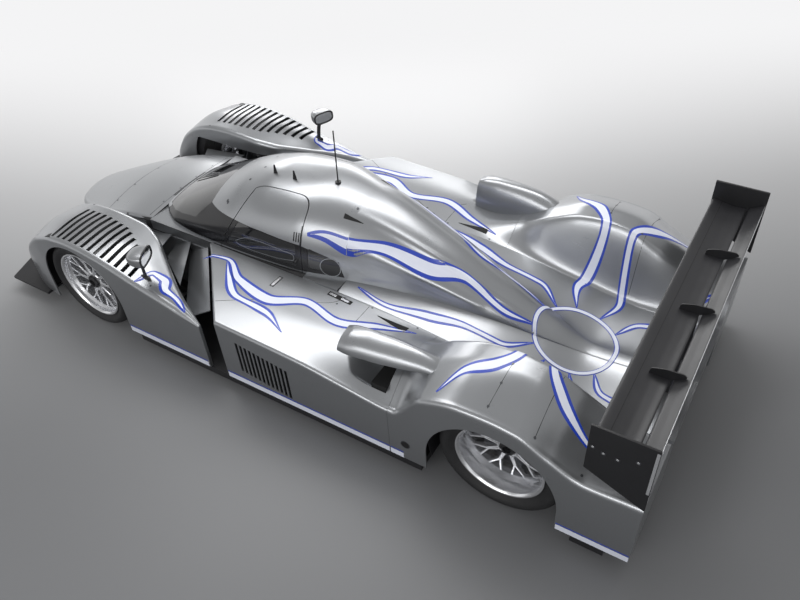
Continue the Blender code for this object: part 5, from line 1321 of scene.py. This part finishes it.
# Screws of an endplate, as pairs of x and height, their square washers' half width, and a screw's head as pairs of
# radius and place outwards.
PLATE_SCREWS = ((-2.057, 0.866), (-2.106, 0.849), (-2.168, 0.845), (-2.250, 0.880))
WASHER_HALF = 0.011
SCREW_HEAD = ((0.0005, 0.0015), (0.006, 0.0012), (0.007, 0.0002), (0.007, -0.002), (0.0005, -0.002))


def wing_part(name, pairs, radius, material, y_low=-WING_HALF, y_high=WING_HALF):
    """A part of the wing pushed across it: a section from its pairs, whose corners are rounded by the radius."""
    pairs = np.asarray(pairs, float) * np.array((-1.0, 1.0)) + np.array((WING_FRONT_X, WING_Z))
    outline = round_corners(pairs, radius) if radius else pairs
    return solid(name, prism(outline, 1, y_low, y_high), material)


def plate_part(name, corners, radius, steps, material, side, inner, outer):
    """A flat part of an endplate: an outline seen from the side, between two heights over the plate's face."""
    outline = round_corners(corners, radius, steps)
    return solid(name, side_prism(outline, side, PLATE_OUT + inner, PLATE_OUT + outer), material)


WING_BLACK = black_composite("satin_wing_composite", ("#1d1d1f", "#2b2b2e"), 0.38, 5.0)
fitted(wing_part("wing_main_plane", WING_MAIN, 0.012, WING_BLACK), "body", "black", "rear_wing")
fitted(wing_part("wing_flap", WING_FLAP, 0.010, WING_BLACK), "body", "black")
for i, y in enumerate((-0.48, 0.0, 0.48)):
    ends = (y - 0.5 * BRACKET_THICK, y + 0.5 * BRACKET_THICK)
    fitted(wing_part(f"wing_bracket_{i + 1}", WING_BRACKET, 0.012, BLACK, *ends), "body", "black")
fitted(wing_part("wing_trailing_strip", WING_STRIP, 0.0, ALLOY), "body", "alloy")
seam = [((WING_FRONT_X - 0.062, -WING_HALF, WING_Z + 0.0262), (WING_FRONT_X - 0.060, WING_HALF, WING_Z + 0.0278))]
fitted(solid("wing_skin_seam", boxes(seam), SHADE_AND_SEAM_BLACK), "body", "black")
for side_name, side in SIDES:
    corners = ((WING_FRONT_X, PLATE_FRONT_Z), (WING_FRONT_X, WING_TOP_Z), (TAIL_X, WING_TOP_Z), (TAIL_X, PLATE_REAR_Z))
    plate = plate_part(f"wing_endplate_{side_name}", corners, 0.006, 5, BLACK, side, -PLATE_THICK, 0.0)
    round_edges(plate, 0.0015, 2)
    fitted(plate, "body", "black", f"endplate_{side_name}")
    corners = ((-2.310, 0.700), (-2.310, 0.985), (-2.323, 0.985), (-2.323, 0.700))
    strip = plate_part(f"endplate_edge_strip_{side_name}", corners, 0.002, 3, ALLOY, side, -0.0005, 0.0010)
    fitted(strip, "body", "alloy")
    for i, (x, z) in enumerate(PLATE_SCREWS):
        place = f"{side_name}_{i + 1}"
        corners = [(x + a * WASHER_HALF, z + b * WASHER_HALF) for a, b in ((-1, -1), (1, -1), (1, 1), (-1, 1))]
        washer = plate_part(f"endplate_washer_{place}", corners, 0.004, 4, STEEL, side, -0.001, 0.001)
        fitted(washer, "body", "steel")
        centre = (x, side * PLATE_OUT, z)
        fitted(turned(f"endplate_screw_{place}", SCREW_HEAD, centre, ALLOY, 1, side, 24), "body", "alloy")
    repaint(f"wing_pylon_{side_name}", BLACK)


# Mirrors: a moulded housing with its glass facing back, on a thin black stalk that is screwed to the fender.
MIRROR_X = 0.73
MIRROR_Y = 0.918
MIRROR_Z = 0.782
MIRROR_WIDE = 0.078
MIRROR_TALL = 0.045
MIRROR_TURN = 24.0
# Half widths of the stalk's and its shoe's oval sections.
STALK_OVAL = (0.016, 0.005, 0.0)
SHOE_OVAL = (0.040, 0.013, 0.0)


def mirror_sections(back, wide, tall, side):
    """Rings of the housing: half width times cos^0.6 and half height times sin^0.6 of the angle round it, all
    turned about the upright axis so that the glass faces the driver."""
    turn = full_turn(64)
    c = np.sign(np.cos(turn)) * np.abs(np.cos(turn)) ** 0.6
    s = np.sign(np.sin(turn)) * np.abs(np.sin(turn)) ** 0.6
    back, wide, tall = (np.asarray(v, float)[:, None] for v in (back, wide, tall))
    out = MIRROR_WIDE * wide * c
    turn_in = math.radians(MIRROR_TURN)
    x = MIRROR_X + back * math.cos(turn_in) - out * math.sin(turn_in)
    y = MIRROR_Y + back * math.sin(turn_in) + out * math.cos(turn_in)
    return np.stack([x, side * y, MIRROR_Z + MIRROR_TALL * tall * s], axis=-1)


for side_name, side in SIDES:
    share = np.linspace(0.0, 1.0, 24)
    swell = np.sqrt(1.0 - (1.0 - share) ** 2.4)
    outer = mirror_sections(0.066 - 0.108 * share, 0.20 + 0.80 * swell, 0.16 + 0.84 * swell, side)
    housing = solid(f"mirror_housing_{side_name}", lofted(outer), SILVER)
    fitted(housing, "body", "panel", f"mirror_{side_name}")
    rim = mirror_sections((-0.0415, -0.050, -0.050, -0.044), (1.0, 1.0, 0.90, 0.87), (1.0, 1.0, 0.82, 0.79), side)
    fitted(solid(f"mirror_frame_{side_name}", lofted(rim), BLACK), "body", "black")
    pane = mirror_sections((-0.0435, -0.0460), (0.865, 0.855), (0.780, 0.765), side)
    fitted(solid(f"mirror_glass_{side_name}", lofted(pane), CHROME), "body", "alloy")
    foot = float(column(FENDER, MIRROR_X + 0.03, 4))
    path = np.array(((MIRROR_X + 0.030, MIRROR_Y - 0.018, foot - 0.004),
                     (MIRROR_X + 0.024, MIRROR_Y - 0.014, MIRROR_Z - 0.070),
                     (MIRROR_X, MIRROR_Y - 0.006, MIRROR_Z - 0.030)))
    share = np.linspace(0.0, 1.0, 16)[:, None]
    spine = (1 - share) ** 2 * path[0] + 2 * share * (1 - share) * path[1] + share ** 2 * path[2]
    turn = full_turn(24)
    oval = np.stack([np.cos(turn), np.sin(turn), 0.0 * turn], axis=-1)[None]
    mirrored = np.array((1.0, side, 1.0))
    stalk = spine[:, None] + np.array(STALK_OVAL) * oval
    fitted(solid(f"mirror_stalk_{side_name}", lofted(stalk * mirrored), BLACK), "body", "black")
    shoe = spine[:1, None] + np.array(SHOE_OVAL) * oval
    shoe = np.concatenate([shoe - np.array((0.0, 0.0, 0.006)), shoe + np.array((0.0, 0.0, 0.004)),
                           0.6 * (shoe - spine[:1, None]) + spine[:1, None] + np.array((0.0, 0.0, 0.010))])
    fitted(solid(f"mirror_shoe_{side_name}", lofted(shoe * mirrored), BLACK), "body", "black")


# Cockpit: a moulded seat in black cloth over its shell, bolted to the floor, and a black composite steering wheel
# on its column. Only a little of them shows through the tinted windows.
def waves(tree, place, direction, distortion=0.0):
    """The socket of even bands across one axis, 6 mm apart."""
    return add_node(tree, "ShaderNodeTexWave", {"Vector": place, "Scale": 52.0, "Distortion": distortion},
                    bands_direction=direction).outputs["Fac"]


def seat_cloth():
    """Black fire-proof cloth: a plain weave of bands both ways, with a soft sheen."""
    material, tree, shader, place = new_material("fireproof_black_cloth")
    weave = add_node(tree, "ShaderNodeMath", {0: waves(tree, place, "Y", 0.4), 1: waves(tree, place, "Z", 0.4)},
                     operation="MULTIPLY").outputs[0]
    finish(tree, shader, tone=(weave, "#101012", "#26262a"), bump=(weave, 0.3, 0.001),
           values={"Roughness": 0.85, "Sheen Weight": 0.3})
    return material


repaint("seat", seat_cloth())
repaint("steering_wheel", BLACK)


# Tail lamps: a ribbed red lens, moulded in one piece, that fills each pocket in the rear face and is screwed in.
def red_lens():
    """Red moulded lens: upright flutes in its surface, over a deep red body."""
    material, tree, shader, place = new_material("fluted_red_lens")
    flutes = waves(tree, place, "Y")
    finish(tree, shader, tone=(flutes, "#4c0507", "#9c1216"), bump=(flutes, 0.5, 0.002),
           values={"Roughness": 0.12, "Coat Weight": 0.5})
    return material


RED = red_lens()
for side_name, _ in SIDES:
    repaint(f"tail_lamp_{side_name}", RED)


# Livery: flowing ribbons cut from satin vinyl, pale inside a blue border, which run back over the panels, and
# a plain ring on the tail. They are laid on the finished skins, and sill stripes run along the car's foot.
RIBBON_LIFT = 0.0007
# Ribbons on the left. The right ones mirror them. Columns: greatest width, then pairs of x and place across.
RIBBONS = (
    (0.052, ((-0.090, 0.350), (-0.200, 0.315), (-0.360, 0.285), (-0.560, 0.225), (-0.800, 0.180), (-1.020, 0.105),
             (-1.230, 0.120), (-1.425, 0.080))),
    (0.044, ((-0.420, 0.355), (-0.640, 0.395), (-0.880, 0.345), (-1.100, 0.290), (-1.300, 0.285), (-1.460, 0.165))),
    (0.060, ((0.620, 0.560), (0.440, 0.520), (0.250, 0.640), (0.000, 0.690), (-0.230, 0.600), (-0.460, 0.650),
             (-0.700, 0.560), (-0.900, 0.500))),
    (0.040, ((0.440, 0.520), (0.330, 0.640), (0.160, 0.760), (-0.060, 0.780), (-0.240, 0.860))),
    (0.056, ((-1.555, 0.235), (-1.500, 0.400), (-1.560, 0.560), (-1.480, 0.710), (-1.340, 0.800), (-1.260, 0.920))),
    (0.046, ((-1.700, 0.235), (-1.760, 0.390), (-1.720, 0.560), (-1.820, 0.710), (-1.960, 0.800), (-2.140, 0.860))),
    (0.040, ((-1.815, 0.165), (-1.900, 0.290), (-2.010, 0.330), (-2.100, 0.480), (-2.240, 0.560))),
    (0.044, ((0.800, 0.960), (0.735, 0.850), (0.665, 0.850), (0.600, 0.905), (0.520, 0.915), (0.420, 0.955))),
)
RING_X = -1.640
RING_OUT = 0.242
RING_IN = 0.222
BORDER = 0.0100
FILM_THICK = 0.0004
DROP_Z = 1.6
# Stretches of the car's foot that carry the stripes, front end and rear end, and a stripe's lower and upper edge.
SILLS = ((0.985, 0.312), (0.150, -0.996), (-1.004, -1.085), (-1.952, -2.318))
PALE_EDGES = (PANEL_LOW, 0.152)
BLUE_EDGES = (0.158, 0.165)


def vinyl(name, tones, rough):
    """Satin vinyl film: an even colour with a faint cloudiness, and a low sheen."""
    return cloudy(name, 14.0, 4.0, tones, (rough, rough + 0.12), {"Coat Weight": 0.2})


BLUE_VINYL = vinyl("blue_satin_vinyl", ("#1c3aa4", "#2747bd"), 0.28)
PALE_VINYL = vinyl("pale_satin_vinyl", ("#dde2f2", "#eceffa"), 0.30)

bodywork = bpy.data.meshes.new("bodywork")
bm = bmesh.new()
for name in ["engine_cover_skin", "canopy_skin", "nose_skin", "cell_top_skin"] + [
        f"{part}_skin_{side_name}" for part in ("sidepod", "rear_fender", "front_fender") for side_name, _ in SIDES]:
    bm.from_mesh(bpy.data.objects[name].data)
bm.to_mesh(bodywork)
bm.free()
BODYWORK = placed("bodywork", bodywork)


def drape(name, strips, material, lift):
    """Lays flat strips on the skins: each is a grid of x and place across, dropped straight down on to the
    skin below, raised by the lift, and given the film's own thickness. A point that falls into the gap
    between two panels takes its height from its neighbours."""
    points = []
    faces = []
    start = 0
    for strip in strips:
        rows, columns = strip.shape[:2]
        a = strip[1, 0] - strip[0, 0]
        b = strip[0, 1] - strip[0, 0]
        if a[0] * b[1] - a[1] * b[0] > 0:
            strip = strip[::-1]
        points.append(np.concatenate([strip, np.full((rows, columns, 1), DROP_Z)], axis=-1).reshape(-1, 3))
        faces += grid_faces(rows, columns, start)
        start += rows * columns
    mesh = mesh_of(name, np.concatenate(points), faces)
    mesh.materials.append(material)
    obj = placed(name, mesh)
    wrap = obj.modifiers.new("drape", "SHRINKWRAP")
    wrap.wrap_method = "PROJECT"
    wrap.use_project_z = True
    wrap.use_negative_direction = True
    wrap.use_positive_direction = False
    wrap.offset = lift
    wrap.target = BODYWORK
    graph = bpy.context.evaluated_depsgraph_get()
    laid = bpy.data.meshes.new_from_object(obj.evaluated_get(graph))
    places = np.empty(3 * len(laid.vertices), np.float32)
    laid.vertices.foreach_get("co", places)
    height = places[2::3]
    index = np.arange(len(height))
    landed = height < DROP_Z - 0.1
    height[~landed] = np.interp(index[~landed], index[landed], height[landed])
    laid.vertices.foreach_set("co", places)
    obj.modifiers.clear()
    obj.data = laid
    bpy.data.meshes.remove(mesh)
    smooth(obj)
    thicken(obj, FILM_THICK)
    return obj


def even(wide):
    """The width of a strip that doesn't taper."""
    return lambda taper: wide + 0.0 * taper


def flowing_line(knots, count=260):
    """A smooth line through its knots by their chord lengths, each coordinate a monotone cubic."""
    knots = np.asarray(knots, float)
    reach = np.concatenate([[0.0], np.cumsum(np.linalg.norm(np.diff(knots, axis=0), axis=1))])
    share = np.linspace(0.0, reach[-1], count)
    return np.stack([curve_through(share, reach, knots[:, i]) for i in (0, 1)], axis=-1)


def ribbon(line, width, columns=7, phase=0.0):
    """A strip about a line: it tapers to both ends as a sine to the 0.7, and each edge swells in long waves."""
    along = np.gradient(line, axis=0)
    along /= np.linalg.norm(along, axis=1)[:, None]
    across = np.stack([-along[:, 1], along[:, 0]], axis=-1)
    share = np.linspace(0.0, 1.0, len(line))
    taper = np.sin(np.pi * np.clip(0.015 + 0.97 * share, 0.0, 1.0)) ** 0.7
    left = 0.5 * width(taper) * (1.0 + 0.22 * np.sin(2 * np.pi * 2.3 * share + phase))
    right = 0.5 * width(taper) * (1.0 + 0.22 * np.sin(2 * np.pi * 1.9 * share + phase + 2.1))
    step = np.linspace(-1.0, 1.0, columns)[None]
    reach = np.where(step < 0, step * left[:, None], step * right[:, None])
    return line[:, None] + across[:, None] * reach[..., None]


def round_strip(centre, inner, outer, turns=181, columns=3):
    """A flat ring between two radii, seen from above. An inner radius of nearly nothing makes a disc."""
    turn = np.radians(np.linspace(0.0, 360.0, turns))[:, None]
    radius = np.linspace(inner, outer, columns)[None]
    return np.stack([centre[0] + radius * np.cos(turn), centre[1] + radius * np.sin(turn)], axis=-1)


borders = []
fills = []
for i, (width, knots) in enumerate(RIBBONS):
    line = flowing_line(knots)
    for side in (1, -1):
        mirrored = line * np.array((1.0, side))
        borders.append(ribbon(mirrored, lambda taper: (width + 2 * BORDER) * taper, 9, i))
        fills.append(ribbon(mirrored[4:-4], lambda taper: np.maximum(width * taper - BORDER, 0.0008), 7, i))
fitted(drape("ribbon_borders", borders, BLUE_VINYL, RIBBON_LIFT), "body", "panel")
fitted(drape("ribbon_fills", fills, PALE_VINYL, 2 * RIBBON_LIFT), "body", "panel")
border = round_strip((RING_X, 0.0), RING_IN - 0.004, RING_OUT + 0.005)
fitted(drape("tail_ring_border", [border], BLUE_VINYL, RIBBON_LIFT), "body", "panel")
ring = round_strip((RING_X, 0.0), RING_IN, RING_OUT)
fitted(drape("tail_ring", [ring], PALE_VINYL, 3 * RIBBON_LIFT), "body", "panel")
for side_name, side in SIDES:
    ys = span(side, BODY_HALF - 0.001, BODY_HALF + 0.0006)
    for name, (low, high), film in (("stripe", PALE_EDGES, PALE_VINYL), ("line", BLUE_EDGES, BLUE_VINYL)):
        stripe = boxes([((rear, ys[0], low), (front, ys[1], high)) for front, rear in SILLS])
        fitted(solid(f"sill_{name}_{side_name}", stripe, film), "body", "panel")


# Panel joints and quick-release fasteners: dark seams over 2 mm wide where panels meet or lift off, and round
# turned fasteners along them. They stand out by a millimetre at most, as sealant and a fastener's rim do.
# Seams on the left, mirrored to the right. Each is a line of x and place across.
SEAMS = (
    ((0.290, 0.868), (0.130, 0.773), (-0.100, 0.645), (-0.372, 0.515), (-0.400, 0.452)),
    ((-0.537, 0.597), (-0.571, 0.669), (-0.592, 0.690)),
    ((-0.560, 0.452), (-0.560, 0.590)),
    ((-1.551, 0.670), (-1.546, 0.800), (-1.536, 0.925)),
    ((-1.784, 0.470), (-1.784, 0.940)),
)
NOSE_SEAMS = (((1.704, -0.395), (1.704, 0.0), (1.704, 0.395)), ((1.235, -0.40), (1.235, 0.0), (1.235, 0.40)))
FASTENERS = ((0.059, 0.753), (-0.160, 0.637), (-0.387, 0.527), (-0.313, 0.463), (-0.581, 0.452), (-0.879, 0.452),
             (-1.551, 0.680), (-1.546, 0.800), (-1.536, 0.915), (-1.784, 0.935), (-1.762, 0.617), (-2.024, 0.940),
             (-2.180, 0.470), (-2.180, 0.840), (0.700, 0.930), (1.690, 0.300), (1.690, 0.120), (1.250, 0.250),
             (1.250, 0.080))
ROOF_DOTS = ((0.437, 0.042), (0.471, 0.158), (0.461, -0.106), (-0.316, 0.136), (0.560, 0.300), (0.550, 0.310))
SEAM_WIDTH = 0.0024
NOSE_SEAM_WIDTH = 0.0026
FASTENER_R = 0.0065
ROOF_DOT_R = 0.0080
PINHOLE_R = 0.0004
lines = [ribbon(flowing_line(knots, 60) * np.array((1.0, side)), even(SEAM_WIDTH), 3)
         for knots in SEAMS for side in (1, -1)]
lines += [ribbon(flowing_line(knots, 90), even(NOSE_SEAM_WIDTH), 3) for knots in NOSE_SEAMS]
dots = [round_strip((x, side * y), PINHOLE_R, FASTENER_R, 25) for x, y in FASTENERS for side in (1, -1)]
dots += [round_strip(place, PINHOLE_R, ROOF_DOT_R, 25) for place in ROOF_DOTS]
fitted(drape("panel_seams", lines, SHADE_AND_SEAM_BLACK, 0.0004), "body", "black")
fitted(drape("panel_fasteners", dots, STEEL, 0.0010), "body", "steel")


# Vents, latches and handles: slots and vents in the spine's shoulders, the deck and the cowl ahead of the windscreen,
# drawn as black patches of painted shade, latches with a bright pressed plate that is screwed on, and a round exhaust
# in each flank whose mouth is a black disc of painted shade inside a turned lip.
# Columns: line of x and place across, width at its front and at its rear.
OUTLETS = (
    (((-0.265, 0.205), (-0.385, 0.190)), 0.026, 0.003),
    (((-0.640, 0.490), (-0.840, 0.505)), 0.004, 0.050),
    (((-0.290, 0.472), (-0.460, 0.484)), 0.034, 0.030),
    (((0.042, 0.592), (0.040, 0.494)), 0.030, 0.030),
)
PLATES = (
    (((-0.300, 0.4727), (-0.350, 0.4762)), 0.016, 0.018),
    (((-0.385, 0.4787), (-0.440, 0.4826)), 0.016, 0.014),
    (((0.0418, 0.584), (0.0402, 0.502)), 0.018, 0.018),
)
# Slots in the cowl: their stations, width and ends across.
COWL = (1.232, 1.218, 1.204)
COWL_WIDTH = 0.008
COWL_ENDS = (-0.150, 0.170)
# The exhaust's place, and the sections of its mouth's black disc of painted shade and of its lip as pairs of radius
# and place outwards.
EXHAUST = (-1.100, 0.235)
MOUTH_SHADE = ((0.001, 0.0010), (0.023, 0.0010), (0.023, -0.004), (0.001, -0.004))
LIP = ((0.023, 0.0014), (0.028, 0.0014), (0.029, -0.004), (0.023, -0.004))


def patch(knots, front, rear):
    """A strip whose width changes evenly from its front end to its rear end."""
    line = flowing_line(knots, 24)
    along = (line[-1] - line[0]) / np.linalg.norm(line[-1] - line[0])
    across = np.array((-along[1], along[0]))
    wide = 0.5 * np.linspace(front, rear, 24)[:, None]
    return line[:, None] + across[None, None] * (wide * np.linspace(-1.0, 1.0, 5)[None])[..., None]


# Vents and slots are black patches of painted shade laid on the skin.
outlets, plates = ([patch(*row) * np.array((1.0, side)) for row in table for side in (1, -1)]
                   for table in (OUTLETS, PLATES))
outlets += [patch([(x, y) for y in COWL_ENDS], COWL_WIDTH, COWL_WIDTH) for x in COWL]
fitted(drape("outlet_and_slot_shades", outlets, SHADE_AND_SEAM_BLACK, 0.0008), "body", "black")
fitted(drape("latch_plates", plates, ALLOY, 0.0020), "body", "alloy")
for side_name, side in SIDES:
    # The exhaust's mouth is a black disc of painted shade inside its lip.
    place = (EXHAUST[0], side * BODY_HALF, EXHAUST[1])
    fitted(turned(f"exhaust_mouth_shade_{side_name}", MOUTH_SHADE, place, SHADE_AND_SEAM_BLACK, 1, side, 48), "body", "black")
    fitted(turned(f"exhaust_lip_{side_name}", LIP, place, STEEL, 1, side, 48), "body", "steel")
bpy.data.objects.remove(BODYWORK)
bpy.data.meshes.remove(bodywork)
